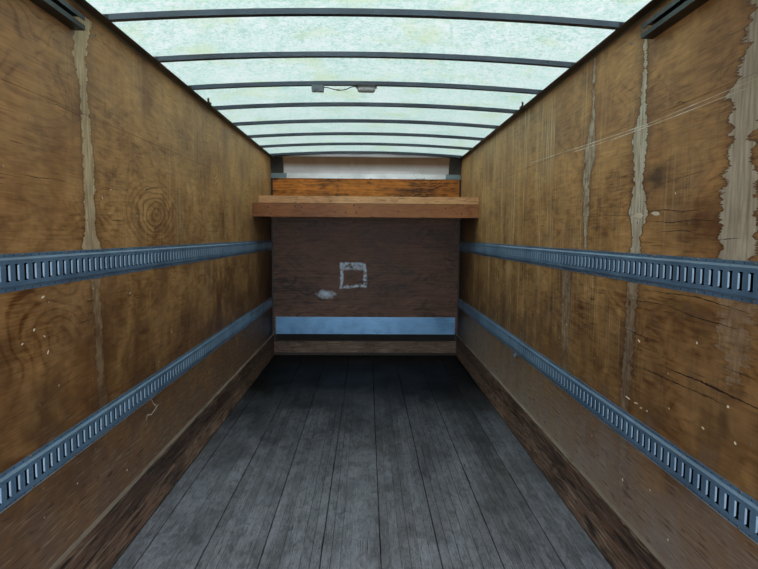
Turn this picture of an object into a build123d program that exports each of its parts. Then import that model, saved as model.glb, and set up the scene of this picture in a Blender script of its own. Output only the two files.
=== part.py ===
from build123d import *
import math
import os

# Cargo box body of a box truck, as it is lifted off its chassis. It stands on its two long sills.
# X runs to the right, Y from the rear door to the front wall, Z up. All sizes are in millimetres.
# The origin is the bottom centre of the whole body.

os.makedirs("parts", exist_ok=True)

# Load space, measured between the plywood linings
INSIDE_WIDTH = 2360.0
LINING_LENGTH = 7262.0
LINING_THICK = 12.0
SHEET_LENGTH = 2438.0
SHEET_JOINT = 1.5

# Walls outside the lining
PANEL_THICK = 27.0
PANEL_WIDTH = 1219.0
PANEL_JOINT = 1.0
RAIL_WALL = 4.0
CORNER_LEG = 60.0
CORNER_RADIUS = 45.0

# Underframe and floor
SILL_HEIGHT = 100.0
SILL_FLANGE = 50.0
SILL_WALL = 6.0
SILL_HALF_GAUGE = 430.0
SILL_BOLT_RADIUS = 9.0
SILL_BOLT_SPACING = 5800.0
CROSS_HEIGHT = 76.0
CROSS_FLANGE = 50.0
CROSS_WALL = 5.0
CROSS_SPACING = 305.0
FLOOR_THICK = 35.0
FLOOR_BOARD_WIDTH = 285.0
FLOOR_SEAM_PLACE = 83.0
FLOOR_JOINT = 2.0
BOTTOM_RAIL_TOP = 110.0
BOTTOM_RAIL_DROP = 70.0

# Logistic rails, by the height of the raised part's upper edge above the floor
RAIL_RIDGE_HEIGHTS = {"upper": 1449.0, "lower": 736.0}
LOGISTIC_FLANGE = 13.0
LOGISTIC_FACE = 101.0
LOGISTIC_RISE = 12.7
LOGISTIC_WALL = 2.7
LOGISTIC_CORNER = 7.0
SLOT_PITCH = 50.8
SLOT_HEIGHT = 59.0
SLOT_WIDTH = 24.0
FIRST_SLOT_SETBACK = 58.8

# Kick boards along the sides
KICK_THICK = 25.0
KICK_HEIGHTS = (131.0, 142.0)
KICK_JOINT = 1.0

# Roof
LEDGE_HEIGHT = 2467.0
LINING_TO_LEDGE = 12.0
SEAM_TO_LEDGE = 437.0
COVE_TO_LEDGE = 179.0
LIP_TO_LEDGE = 241.0
DOORWAY_TO_LEDGE = 337.0
TRACK_TO_LEDGE = 94.0
SHAFT_TO_LEDGE = 33.0
LEDGE_WIDTH = 50.0
LEDGE_THICK = 3.0
TOP_RAIL_DROP = 67.0
ROOF_CROWN = 40.0
BOW_HEIGHT = 25.0
BOW_WIDTH = 32.0
BOW_SPACING = 609.6
FRONT_BOW_SPACING = 641.0
FRONT_BOW_COUNT = 4
FIRST_BOW_SETBACK = 187.6
ROOF_SHEET_THICK = 2.0
ROOF_SHEET_MARGIN = 10.0

# Front wall
FRONT_LINING_BOTTOM = 275.0
SCUFF_BAND_HEIGHT = 219.0
SCUFF_BAND_END_GAP = 43.0
SCUFF_BAND_THICK = 2.0
FRONT_KICK_BOTTOM = 39.0
FRONT_KICK_HEIGHT = 149.0
FRONT_LIP_HEIGHT = 60.0
FRONT_LIP_DEPTH = 20.0
FRONT_LIP_END_GAP = 195.0
COVE_HEIGHT = 195.0
COVE_DEPTH = 80.0
COVE_THICK = 2.0
COVE_END_GAP = 157.0
CORNER_ANGLE_LEG = 20.0
CORNER_ANGLE_WALL = 2.0

# Shelf at the front wall
SHELF_DEPTH = 1200.0
SHELF_TOP = 1857.0
SHELF_DECK_THICK = 18.0
SHELF_BOARD_THICK = 38.0
SHELF_LOWER_BOARD = 140.0
SHELF_UPPER_BOARD = 75.0
SHELF_UPPER_SHORTFALL = 65.0
SHELF_JOIST_HEIGHT = 89.0
SHELF_JOIST_COUNT = 3
SHELF_CLEAT = 38.0
SHELF_LEDGER_HEIGHT = 108.0

# Rear frame and roll-up door
REAR_FRAME_DEPTH = 100.0
POST_FLANGE = 62.0
FRAME_WALL = 6.0
HEADER_FLANGE = 40.0
TRACK_WIDTH = 50.0
TRACK_DEPTH = 57.0
TRACK_WALL = 2.5
TRACK_SLOT = 18.0
TRACK_SETBACK = 54.0
TRACK_RADIUS = 230.0
TRACK_FRONT = 2504.0
SECTION_COUNT = 6
SECTION_HEIGHT = 357.5
SECTION_THICK = 14.0
SECTION_JOINT = 2.0
SECTION_SIDE_GAP = 10.0
SECTION_OFFSET = 5.0
DOOR_LEAD = 2114.0
HINGE_LENGTH = 90.0
HINGE_WIDTH = 60.0
HINGE_THICK = 4.0
HINGE_END_GAP = 95.0
ROLLER_WIDTH = 14.0
ROLLER_SIDES = 16
STEM_RADIUS = 4.5
STEM_SIDES = 6
SHAFT_RADIUS = 12.0
SPRING_RADIUS = 30.0
SPRING_LENGTH = 560.0
SHAFT_BRACKET = 8.0

# Lamp, switch and wire on one of the bows
BOWS_BEHIND_LAMP_COUNT = 6
LAMP_LENGTH = 138.0
LAMP_WIDTH = 80.0
LAMP_BASE = 12.0
LAMP_DOME = 30.0
SWITCH_PLACE = -317.0
SWITCH_SIZE = (80.0, 46.0, 42.0)
WIRE_RADIUS = 3.0
WIRE_SIDES = 8
# Route of the wire from the switch to the lamp: share of the span, y off the bow's middle, z off the lamp's exit
WIRE_ROUTE = ((0.0, 0.0, -8.0), (0.106, 0.0, -8.0), (0.279, -4.0, -20.0), (0.481, -6.0, -27.0),
              (0.692, -4.0, -22.0), (0.885, 0.0, 0.0), (1.0, 0.0, 0.0))

# Outside lamps
REAR_LAMP_LENGTH = 165.0
REAR_LAMP_HEIGHT = 57.0
REAR_LAMP_THICK = 18.0
REAR_LAMP_PROUD = 8.0
REAR_LAMP_END_GAPS = (135.0, 330.0)
MARKER_LENGTH = 100.0
MARKER_HEIGHT = 32.0
MARKER_PROUD = 8.0
MARKER_SPACING = 230.0
MARKER_END_GAP = 120.0

FIT = 0.3

# Places worked out from the sizes above
INSIDE_X = INSIDE_WIDTH / 2
LINING_X = INSIDE_X + LINING_THICK
OUTSIDE_X = LINING_X + PANEL_THICK
RAIL_X = OUTSIDE_X + RAIL_WALL
CROSS_Z = SILL_HEIGHT
DECK_Z = CROSS_Z + CROSS_HEIGHT
FLOOR_Z = DECK_Z + FLOOR_THICK
FRONT_WALL_THICK = LINING_THICK + PANEL_THICK
BODY_LENGTH = REAR_FRAME_DEPTH + LINING_LENGTH + FRONT_WALL_THICK + RAIL_WALL
REAR_Y = -BODY_LENGTH / 2
LINING_REAR_Y = REAR_Y + REAR_FRAME_DEPTH
FRONT_LINING_Y = LINING_REAR_Y + LINING_LENGTH
FRONT_PANEL_Y = FRONT_LINING_Y + LINING_THICK
FRONT_Y = FRONT_PANEL_Y + PANEL_THICK
CORNER_Y = FRONT_Y - CORNER_LEG
LEDGE_Z = FLOOR_Z + LEDGE_HEIGHT
LEDGE_X = INSIDE_X - LEDGE_WIDTH
TOP_RAIL_Z = LEDGE_Z - TOP_RAIL_DROP
SHELF_Y = FRONT_LINING_Y - SHELF_DEPTH
SHELF_Z = FLOOR_Z + SHELF_TOP
BOW_COUNT = int((LINING_LENGTH - FIRST_BOW_SETBACK - BOW_WIDTH) // BOW_SPACING) + 1

# Heights above the floor that follow the ledge, and places across that follow the linings
LINING_TOP = LEDGE_HEIGHT - LINING_TO_LEDGE
SHEET_SEAM_HEIGHT = LEDGE_HEIGHT - SEAM_TO_LEDGE
COVE_BOTTOM = LEDGE_HEIGHT - COVE_TO_LEDGE
FRONT_LIP_BOTTOM = LEDGE_HEIGHT - LIP_TO_LEDGE
DOOR_HEIGHT = LEDGE_HEIGHT - DOORWAY_TO_LEDGE
TRACK_HEIGHT = LEDGE_HEIGHT - TRACK_TO_LEDGE
SHAFT_HEIGHT = LEDGE_HEIGHT - SHAFT_TO_LEDGE
SCUFF_BAND_HALF_WIDTH = INSIDE_X - SCUFF_BAND_END_GAP
FRONT_LIP_HALF_WIDTH = INSIDE_X - FRONT_LIP_END_GAP
COVE_HALF_WIDTH = INSIDE_X - COVE_END_GAP
HINGE_PLACES = (HINGE_END_GAP - INSIDE_X, 0.0, INSIDE_X - HINGE_END_GAP)
REAR_LAMP_PLACES = [side * (INSIDE_X - gap) for side in (-1, 1) for gap in REAR_LAMP_END_GAPS]
MARKER_CORNER_PLACE = INSIDE_X - MARKER_END_GAP

# The bows' lower edge is an arc through the ledge and the crown, and the roof sheet lies on their upper edge
BOW_RADIUS = (LEDGE_X ** 2 + ROOF_CROWN ** 2) / (2 * ROOF_CROWN)
BOW_CENTRE_Z = LEDGE_Z + ROOF_CROWN - BOW_RADIUS
ROOF_RADIUS = BOW_RADIUS + BOW_HEIGHT


def roof_z(x, radius=ROOF_RADIUS):
    """Height of a roof arc over the place x."""
    return BOW_CENTRE_Z + math.sqrt(radius ** 2 - x ** 2)


def block(x0, x1, y0, y1, z0, z1):
    """Plain block between two corners."""
    centre = Pos((x0 + x1) / 2, (y0 + y1) / 2, (z0 + z1) / 2)
    return centre * Box(x1 - x0, y1 - y0, z1 - z0)


def along_x(outline, x0, x1):
    """Bar along X with an outline of (y, z) points."""
    edge = Polyline(*[(x0, y, z) for y, z in outline], close=True)
    return extrude(make_face(edge), amount=x1 - x0, dir=(1, 0, 0))


def along_y(outline, y0, y1):
    """Bar along Y with an outline of (x, z) points."""
    edge = Polyline(*[(x, y0, z) for x, z in outline], close=True)
    return extrude(make_face(edge), amount=y1 - y0, dir=(0, 1, 0))


def roof_band(half_width, y0, y1, radius_in, radius_out):
    """Strip across the body between two roof arcs."""
    ends = [(-half_width, radius_in), (half_width, radius_in), (half_width, radius_out), (-half_width, radius_out)]
    low_left, low_right, top_right, top_left = [(x, y0, roof_z(x, radius)) for x, radius in ends]
    low = ThreePointArc(low_left, (0, y0, BOW_CENTRE_Z + radius_in), low_right)
    top = ThreePointArc(top_right, (0, y0, BOW_CENTRE_Z + radius_out), top_left)
    face = make_face([low, Line(low_right, top_right), top, Line(top_left, low_left)])
    return extrude(face, amount=y1 - y0, dir=(0, 1, 0))


def arched_plate(half_width, y0, y1, low, radius):
    """Upright plate across the body with a flat foot and a roof arc as its upper edge."""
    left, right = (-half_width, y0, roof_z(half_width, radius)), (half_width, y0, roof_z(half_width, radius))
    arc = ThreePointArc(left, (0, y0, BOW_CENTRE_Z + radius), right)
    foot_left, foot_right = (-half_width, y0, low), (half_width, y0, low)
    face = make_face([arc, Line(right, foot_right), Line(foot_right, foot_left), Line(foot_left, left)])
    return extrude(face, amount=y1 - y0, dir=(0, 1, 0))


def pair(solid):
    """The right piece and its mirror image on the left."""
    return [solid, mirror(solid, about=Plane.YZ)]


def write(name, solids):
    """Write one node from a solid or a list of solids."""
    pieces = solids if isinstance(solids, list) else [solids]
    bodies = [body for piece in pieces for body in piece.solids()]
    shape = bodies[0] if len(bodies) == 1 else Compound(children=bodies)
    shape.label = name
    export_step(shape, f"parts/{name}.step")


def write_sides(name, solids):
    """Write the right node and its mirror image as the left node."""
    pieces = solids if isinstance(solids, list) else [solids]
    write(f"{name}_right", pieces)
    write(f"{name}_left", [mirror(piece, about=Plane.YZ) for piece in pieces])


# Underframe

def long_sills():
    """Two steel channels with their flanges turned outwards, bolted down through the lower flange."""
    web = SILL_HALF_GAUGE - SILL_FLANGE / 2
    tip = web + SILL_FLANGE
    inner = web + SILL_WALL
    outline = [(web, 0), (tip, 0), (tip, SILL_WALL), (inner, SILL_WALL), (inner, SILL_HEIGHT - SILL_WALL),
               (tip, SILL_HEIGHT - SILL_WALL), (tip, SILL_HEIGHT), (web, SILL_HEIGHT)]
    sill = along_y(outline, REAR_Y, FRONT_Y)
    for y in (-SILL_BOLT_SPACING / 2, SILL_BOLT_SPACING / 2):
        sill -= Pos(SILL_HALF_GAUGE, y, SILL_WALL / 2) * Cylinder(SILL_BOLT_RADIUS, 2 * SILL_WALL)
    return pair(sill)


def crossmember_places():
    """Rear faces of the crossmembers, evenly spaced between the rear frame and the front wall."""
    first = LINING_REAR_Y + FIT
    last = FRONT_PANEL_Y - CROSS_FLANGE - FIT
    count = int((last - first) // CROSS_SPACING) + 1
    return [first + (last - first) * i / (count - 1) for i in range(count)]


def crossmembers():
    """Steel channels across the body, from one bottom rail's web to the other."""
    half = LINING_X - RAIL_WALL - FIT
    beams = []
    for y in crossmember_places():
        low, high = CROSS_Z, DECK_Z
        front = y + CROSS_FLANGE
        outline = [(y, low), (front, low), (front, low + CROSS_WALL), (y + CROSS_WALL, low + CROSS_WALL),
                   (y + CROSS_WALL, high - CROSS_WALL), (front, high - CROSS_WALL), (front, high), (y, high)]
        beams.append(along_x(outline, -half, half))
    return beams


def floor_boards():
    """Lengthwise hardwood boards from one side panel to the other."""
    half = LINING_X - FIT
    reach = int(half // FLOOR_BOARD_WIDTH) + 1
    seams = [FLOOR_SEAM_PLACE + i * FLOOR_BOARD_WIDTH for i in range(-reach, reach + 1)]
    seams = [x for x in seams if abs(x) < half - FLOOR_THICK]
    starts = [-half] + [x + FLOOR_JOINT / 2 for x in seams]
    ends = [x - FLOOR_JOINT / 2 for x in seams] + [half]
    return [block(x0, x1, LINING_REAR_Y + FIT, FRONT_PANEL_Y - FIT, DECK_Z, FLOOR_Z) for x0, x1 in zip(starts, ends)]


def bottom_rail():
    """Side rail: outer plate over the panel's foot, ledge that carries the panel and web for the crossmembers."""
    foot = DECK_Z - BOTTOM_RAIL_DROP
    top = FLOOR_Z + BOTTOM_RAIL_TOP
    web = LINING_X - RAIL_WALL
    ledge = DECK_Z - RAIL_WALL
    outline = [(RAIL_X, foot), (RAIL_X, top), (OUTSIDE_X, top), (OUTSIDE_X, DECK_Z), (web, DECK_Z), (web, foot),
               (LINING_X, foot), (LINING_X, ledge), (OUTSIDE_X, ledge), (OUTSIDE_X, foot)]
    return along_y(outline, LINING_REAR_Y, CORNER_Y)


# Side walls

def side_panels():
    """Side skin on its posts, as thick as the wall outside the lining, split where the skin sheets meet."""
    y0 = LINING_REAR_Y + FIT
    y1 = CORNER_Y - FIT
    count = round((y1 - y0) / PANEL_WIDTH)
    pitch = (y1 - y0 + PANEL_JOINT) / count
    low = DECK_Z
    high = LEDGE_Z - LEDGE_THICK
    panels = []
    for i in range(count):
        y = y0 + i * pitch
        panels.append(block(LINING_X, OUTSIDE_X, y, y + pitch - PANEL_JOINT, low, high))
    return panels


def side_lining():
    """Plywood sheets with their joints left open, in two rows."""
    sheets = []
    rows = ((FLOOR_Z, FLOOR_Z + SHEET_SEAM_HEIGHT - SHEET_JOINT), (FLOOR_Z + SHEET_SEAM_HEIGHT, FLOOR_Z + LINING_TOP))
    for low, high in rows:
        y = LINING_REAR_Y
        while y < FRONT_LINING_Y - SHEET_JOINT:
            end = min(y + SHEET_LENGTH, FRONT_LINING_Y)
            sheets.append(block(INSIDE_X, LINING_X, y + FIT, end - SHEET_JOINT, low, high))
            y = end
    return sheets


def logistic_rail(ridge_height):
    """Hat section on the lining, with a through slot at every pitch from the lining's rear end."""
    ridge = FLOOR_Z + ridge_height
    foot = ridge - LOGISTIC_FACE
    wall = INSIDE_X
    back = wall - LOGISTIC_WALL
    face = wall - LOGISTIC_RISE
    hollow = face + LOGISTIC_WALL
    corner = LOGISTIC_CORNER
    inner_corner = corner + LOGISTIC_WALL * (math.sqrt(2) - 2)
    inner_foot = foot + LOGISTIC_WALL
    inner_ridge = ridge - LOGISTIC_WALL
    outline = [(wall, foot - LOGISTIC_FLANGE), (wall, inner_foot), (hollow + inner_corner, inner_foot),
               (hollow, inner_foot + inner_corner), (hollow, inner_ridge - inner_corner),
               (hollow + inner_corner, inner_ridge), (wall, inner_ridge), (wall, ridge + LOGISTIC_FLANGE),
               (back, ridge + LOGISTIC_FLANGE), (back, ridge), (face + corner, ridge), (face, ridge - corner),
               (face, foot + corner), (face + corner, foot), (back, foot), (back, foot - LOGISTIC_FLANGE)]
    y0 = LINING_REAR_Y + FIT
    y1 = FRONT_LINING_Y - CORNER_ANGLE_LEG - FIT
    rail = along_y(outline, y0, y1)
    middle = (ridge + foot) / 2
    first = LINING_REAR_Y + FIRST_SLOT_SETBACK
    count = int((y1 - first - SLOT_WIDTH) // SLOT_PITCH) + 1
    cutter = Box(4 * LOGISTIC_WALL, SLOT_WIDTH, SLOT_HEIGHT)
    slots = [Pos(face, first + i * SLOT_PITCH, middle) * cutter for i in range(count)]
    return rail.cut(*slots)


def kick_boards():
    """Stacked boards along the foot of the lining."""
    boards = []
    low = FLOOR_Z
    for height in KICK_HEIGHTS:
        boards.append(block(INSIDE_X - KICK_THICK, INSIDE_X - FIT, LINING_REAR_Y + FIT,
                            FRONT_LINING_Y - CORNER_ANGLE_LEG - FIT, low, low + height))
        low += height + KICK_JOINT
    return boards


# Roof

def top_rail():
    """Side rail of the roof: outer leg over the panels, top flange, inner leg and the ledge for the bows."""
    skirt = TOP_RAIL_Z
    inner = INSIDE_X + LEDGE_THICK
    outline = [(RAIL_X, skirt), (RAIL_X, roof_z(RAIL_X)), (INSIDE_X, roof_z(INSIDE_X)), (INSIDE_X, LEDGE_Z),
               (LEDGE_X, LEDGE_Z), (LEDGE_X, LEDGE_Z - LEDGE_THICK), (INSIDE_X, LEDGE_Z - LEDGE_THICK),
               (INSIDE_X, FLOOR_Z + LINING_TOP), (inner, FLOOR_Z + LINING_TOP), (inner, roof_z(inner) - RAIL_WALL),
               (OUTSIDE_X, roof_z(OUTSIDE_X) - RAIL_WALL), (OUTSIDE_X, skirt)]
    return along_y(outline, LINING_REAR_Y, CORNER_Y)


def bow_places():
    """Rear faces of the roof bows. The last few stand a little farther apart."""
    first = LINING_REAR_Y + FIRST_BOW_SETBACK
    even_count = BOW_COUNT - FRONT_BOW_COUNT
    even = [first + i * BOW_SPACING for i in range(even_count)]
    return even + [even[-1] + (i + 1) * FRONT_BOW_SPACING for i in range(FRONT_BOW_COUNT)]


def roof_bow(y):
    """Arched box section, with its ends cut flat where they lie on the ledges."""
    half = INSIDE_X - FIT
    bow = roof_band(half, y, y + BOW_WIDTH, BOW_RADIUS, ROOF_RADIUS)
    return bow - block(-half - 1, half + 1, y - 1, y + BOW_WIDTH + 1, LEDGE_Z - BOW_HEIGHT, LEDGE_Z)


def roof_sheet():
    """One translucent sheet over the bows and the rails, with rounded front corners."""
    half = RAIL_X - ROOF_SHEET_MARGIN
    y0 = REAR_Y + ROOF_SHEET_MARGIN
    y1 = FRONT_Y - 2 * ROOF_SHEET_MARGIN
    plan = Pos(0, (y0 + y1) / 2) * Rectangle(2 * half, y1 - y0)
    plan = fillet(plan.vertices().group_by(Axis.Y)[-1], CORNER_RADIUS - ROOF_SHEET_MARGIN)
    sheet = roof_band(half + 1, y0, y1, ROOF_RADIUS, ROOF_RADIUS + ROOF_SHEET_THICK)
    return sheet & extrude(Pos(0, 0, TOP_RAIL_Z) * plan, amount=FLOOR_Z, dir=(0, 0, 1))


# Front wall

def corner_outline(outer, wall_x, wall_y, leg_y, leg_x, top_y, radius):
    """Plan of a front corner: two legs and a round outer corner."""
    start = (outer, leg_y)
    bend = (outer, top_y - radius)
    middle = (outer - radius * (1 - math.sqrt(0.5)), top_y - radius * (1 - math.sqrt(0.5)))
    edges = [Line(start, bend), ThreePointArc(bend, middle, (outer - radius, top_y)),
             Line((outer - radius, top_y), (leg_x, top_y)), Line((leg_x, top_y), (leg_x, wall_y)),
             Line((leg_x, wall_y), (wall_x, wall_y)), Line((wall_x, wall_y), (wall_x, leg_y)),
             Line((wall_x, leg_y), start)]
    return make_face(edges)


def corner_post():
    """Front corner post with a round outer corner, from the rail's foot to the corner cap."""
    plan = corner_outline(OUTSIDE_X, LINING_X, FRONT_PANEL_Y, CORNER_Y, OUTSIDE_X - CORNER_LEG, FRONT_Y, CORNER_RADIUS)
    foot = DECK_Z - BOTTOM_RAIL_DROP
    return extrude(Pos(0, 0, foot) * plan, amount=TOP_RAIL_Z - foot, dir=(0, 0, 1))


def corner_cap():
    """Cast cap over the corner post, flush with the top rails."""
    plan = corner_outline(RAIL_X, LINING_X, FRONT_PANEL_Y, CORNER_Y, OUTSIDE_X - CORNER_LEG,
                          FRONT_Y + RAIL_WALL, CORNER_RADIUS + RAIL_WALL)
    return extrude(Pos(0, 0, TOP_RAIL_Z) * plan, amount=roof_z(RAIL_X) - TOP_RAIL_Z, dir=(0, 0, 1))


def front_panels():
    """Front skin on its posts, in two halves."""
    half = OUTSIDE_X - CORNER_LEG - FIT
    return pair(block(PANEL_JOINT / 2, half, FRONT_PANEL_Y, FRONT_Y, DECK_Z, TOP_RAIL_Z - FIT))


def front_bottom_rail():
    """Plate over the foot of the front panels, with a ledge under them."""
    half = OUTSIDE_X - CORNER_LEG - FIT
    foot = DECK_Z - BOTTOM_RAIL_DROP
    ledge = DECK_Z - RAIL_WALL
    outer = FRONT_Y + RAIL_WALL
    outline = [(outer, foot), (outer, FLOOR_Z + BOTTOM_RAIL_TOP), (FRONT_Y, FLOOR_Z + BOTTOM_RAIL_TOP),
               (FRONT_Y, DECK_Z), (FRONT_PANEL_Y, DECK_Z), (FRONT_PANEL_Y, ledge), (FRONT_Y, ledge), (FRONT_Y, foot)]
    return along_x(outline, -half, half)


def front_top_rail():
    """Front rail under the roof sheet, arched like the bows, with a round nose."""
    half = OUTSIDE_X - CORNER_LEG - FIT
    nose = arched_plate(half, FRONT_PANEL_Y, FRONT_Y + RAIL_WALL, TOP_RAIL_Z, ROOF_RADIUS)
    shelf = roof_band(half, CORNER_Y - CORNER_LEG, FRONT_PANEL_Y, ROOF_RADIUS - RAIL_WALL, ROOF_RADIUS)
    return nose + shelf


def front_lining():
    """Plywood of the front wall, in one sheet below the shelf and one above it."""
    split = SHELF_Z - SHELF_DECK_THICK / 2
    half = INSIDE_X
    y1 = FRONT_PANEL_Y - FIT
    lower = block(-half, half, FRONT_LINING_Y, y1, FLOOR_Z + FRONT_LINING_BOTTOM, split - SHEET_JOINT)
    upper = block(-half, half, FRONT_LINING_Y, y1, split, FLOOR_Z + LINING_TOP)
    return [lower, upper]


def front_scuff_band():
    """Galvanised band over the foot of the front lining."""
    low = FLOOR_Z + FRONT_LINING_BOTTOM
    return block(-SCUFF_BAND_HALF_WIDTH, SCUFF_BAND_HALF_WIDTH, FRONT_LINING_Y - SCUFF_BAND_THICK,
                 FRONT_LINING_Y, low, low + SCUFF_BAND_HEIGHT)


def front_kick_board():
    """Worn board fixed to the front posts below the lining."""
    low = FLOOR_Z + FRONT_KICK_BOTTOM
    half = INSIDE_X - KICK_THICK - FIT
    return block(-half, half, FRONT_PANEL_Y - KICK_THICK, FRONT_PANEL_Y - FIT, low, low + FRONT_KICK_HEIGHT)


def front_corner_angles():
    """Angle strips in the two corners between the front and the side linings."""
    x = INSIDE_X - FIT
    y = FRONT_LINING_Y - FIT
    low = FLOOR_Z + FRONT_LINING_BOTTOM
    high = FLOOR_Z + FRONT_LIP_BOTTOM - FIT
    inner_x = x - CORNER_ANGLE_WALL
    inner_y = y - CORNER_ANGLE_WALL
    edge = Polyline((x, y), (x, y - CORNER_ANGLE_LEG), (inner_x, y - CORNER_ANGLE_LEG), (inner_x, inner_y),
                    (x - CORNER_ANGLE_LEG, inner_y), (x - CORNER_ANGLE_LEG, y), close=True)
    angle = extrude(Pos(0, 0, low) * make_face(edge), amount=high - low, dir=(0, 0, 1))
    notch_low = SHELF_Z - SHELF_LOWER_BOARD - FIT
    notch_high = SHELF_Z + FIT
    notch = block(0, INSIDE_X + 1, SHELF_Y, FRONT_LINING_Y + 1, notch_low, notch_high)
    return pair(angle - notch)


def front_lip():
    """Aluminium lip over the front lining, with a bracket at each end."""
    low = FLOOR_Z + FRONT_LIP_BOTTOM
    high = low + FRONT_LIP_HEIGHT
    lip = block(-FRONT_LIP_HALF_WIDTH, FRONT_LIP_HALF_WIDTH, FRONT_LINING_Y - FRONT_LIP_DEPTH,
                FRONT_LINING_Y, low, high)
    bracket = block(FRONT_LIP_HALF_WIDTH + FIT, INSIDE_X - FIT, FRONT_LINING_Y - FRONT_LIP_DEPTH / 2,
                    FRONT_LINING_Y, low, high)
    return [lip] + pair(bracket)


def cove(x0, x1):
    """Sheet that curves from the lip to the roof."""
    y = FRONT_LINING_Y
    low = FLOOR_Z + COVE_BOTTOM
    high = low + COVE_HEIGHT
    bulge = COVE_DEPTH / 4
    outer = ThreePointArc((x0, y, low), (x0, y - bulge, (low + high) / 2), (x0, y - COVE_DEPTH, high))
    inner = ThreePointArc((x0, y - COVE_THICK, low), (x0, y - bulge - COVE_THICK, (low + high) / 2),
                          (x0, y - COVE_DEPTH - COVE_THICK, high))
    face = make_face([outer, Line(outer @ 1, inner @ 1), inner, Line(inner @ 0, outer @ 0)])
    return extrude(face, amount=x1 - x0, dir=(1, 0, 0))


def corner_gusset():
    """Gusset that closes the cove out to the side lining, cut back under the ledge."""
    sheet = cove(COVE_HALF_WIDTH + FIT, INSIDE_X - FIT)
    ledge = LEDGE_Z - LEDGE_THICK - FIT
    return sheet - block(LEDGE_X - FIT, INSIDE_X, FRONT_LINING_Y - 2 * COVE_DEPTH, FRONT_LINING_Y, ledge, 2 * LEDGE_Z)


# Shelf

def shelf_deck():
    """Plywood deck between the side linings, behind the front board."""
    return block(-INSIDE_X + FIT, INSIDE_X - FIT, SHELF_Y + SHELF_BOARD_THICK + FIT, FRONT_LINING_Y - FIT,
                 SHELF_Z - SHELF_DECK_THICK, SHELF_Z)


def shelf_front_boards():
    """Lower board from wall to wall, and the retaining board on it that stops short of the left wall."""
    y1 = SHELF_Y + SHELF_BOARD_THICK
    lower = block(-INSIDE_X + FIT, INSIDE_X - FIT, SHELF_Y, y1, SHELF_Z - SHELF_LOWER_BOARD, SHELF_Z)
    upper = block(-INSIDE_X + SHELF_UPPER_SHORTFALL, INSIDE_X - FIT, SHELF_Y, y1,
                  SHELF_Z + FIT, SHELF_Z + SHELF_UPPER_BOARD)
    return [lower, upper]


def shelf_joists():
    """Joists under the deck, with a ledger on the front wall and a cleat on each side wall."""
    high = SHELF_Z - SHELF_DECK_THICK - FIT
    y0 = SHELF_Y + SHELF_BOARD_THICK + FIT
    y1 = FRONT_LINING_Y - SHELF_CLEAT - FIT
    pitch = INSIDE_WIDTH / (SHELF_JOIST_COUNT + 1)
    half = SHELF_BOARD_THICK / 2
    pieces = []
    for i in range(SHELF_JOIST_COUNT):
        x = -INSIDE_X + (i + 1) * pitch
        pieces.append(block(x - half, x + half, y0, y1, high - SHELF_JOIST_HEIGHT, high))
    low = high - SHELF_LEDGER_HEIGHT
    pieces.append(block(-INSIDE_X + FIT, INSIDE_X - FIT, y1 + FIT, FRONT_LINING_Y - FIT, low, high))
    side = block(INSIDE_X - SHELF_CLEAT, INSIDE_X - FIT, y0, y1, high - SHELF_CLEAT, high)
    return pieces + pair(side)


# Rear frame

def rear_post():
    """Post as thick as the wall, with a flange that hides the door track."""
    leg = block(INSIDE_X, RAIL_X, REAR_Y, LINING_REAR_Y - FIT, CROSS_Z, roof_z(RAIL_X))
    flange = block(INSIDE_X - POST_FLANGE, INSIDE_X, REAR_Y, REAR_Y + FRAME_WALL, FLOOR_Z, FLOOR_Z + DOOR_HEIGHT)
    return leg + flange


def rear_header():
    """Arched plate over the doorway with a flange along its foot and one under the roof sheet."""
    half = INSIDE_X - FIT
    low = FLOOR_Z + DOOR_HEIGHT
    plate = arched_plate(half, REAR_Y, REAR_Y + FRAME_WALL, low + FIT, ROOF_RADIUS)
    between = INSIDE_X - POST_FLANGE - FIT
    plate += block(-between, between, REAR_Y, REAR_Y + HEADER_FLANGE, low + FIT, low + FIT + FRAME_WALL)
    plate += roof_band(half, REAR_Y, LINING_REAR_Y, ROOF_RADIUS - FRAME_WALL, ROOF_RADIUS)
    return plate


def rear_threshold():
    """Channel across the rear end of the floor, cut for the rear lamps."""
    half = INSIDE_X - FIT
    y1 = LINING_REAR_Y - FIT
    inner = REAR_Y + FRAME_WALL
    outline = [(REAR_Y, CROSS_Z), (y1, CROSS_Z), (y1, CROSS_Z + FRAME_WALL), (inner, CROSS_Z + FRAME_WALL),
               (inner, FLOOR_Z - FRAME_WALL), (y1, FLOOR_Z - FRAME_WALL), (y1, FLOOR_Z), (REAR_Y, FLOOR_Z)]
    sill = along_x(outline, -half, half)
    for x in REAR_LAMP_PLACES:
        sill -= rear_lamp(x, FIT)
    return sill


def rear_lamp(x, growth):
    """Oblong lamp through the rear web of the threshold."""
    middle = (CROSS_Z + FLOOR_Z) / 2
    length = REAR_LAMP_LENGTH / 2 + growth
    height = REAR_LAMP_HEIGHT / 2 + growth
    y = REAR_Y - REAR_LAMP_PROUD
    return block(x - length, x + length, y, y + REAR_LAMP_THICK, middle - height, middle + height)


def marker_lamps():
    """Small lamps at the top corners and the middle of both ends."""
    high = TOP_RAIL_Z + TOP_RAIL_DROP / 2
    low = high - MARKER_HEIGHT
    middles = [-MARKER_CORNER_PLACE, -MARKER_SPACING, 0, MARKER_SPACING, MARKER_CORNER_PLACE]
    ends = ((REAR_Y - MARKER_PROUD, REAR_Y), (FRONT_Y + RAIL_WALL, FRONT_Y + RAIL_WALL + MARKER_PROUD))
    return [block(x - MARKER_LENGTH / 2, x + MARKER_LENGTH / 2, y0, y1, low, high)
            for y0, y1 in ends for x in middles]


# Roll-up door

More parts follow.
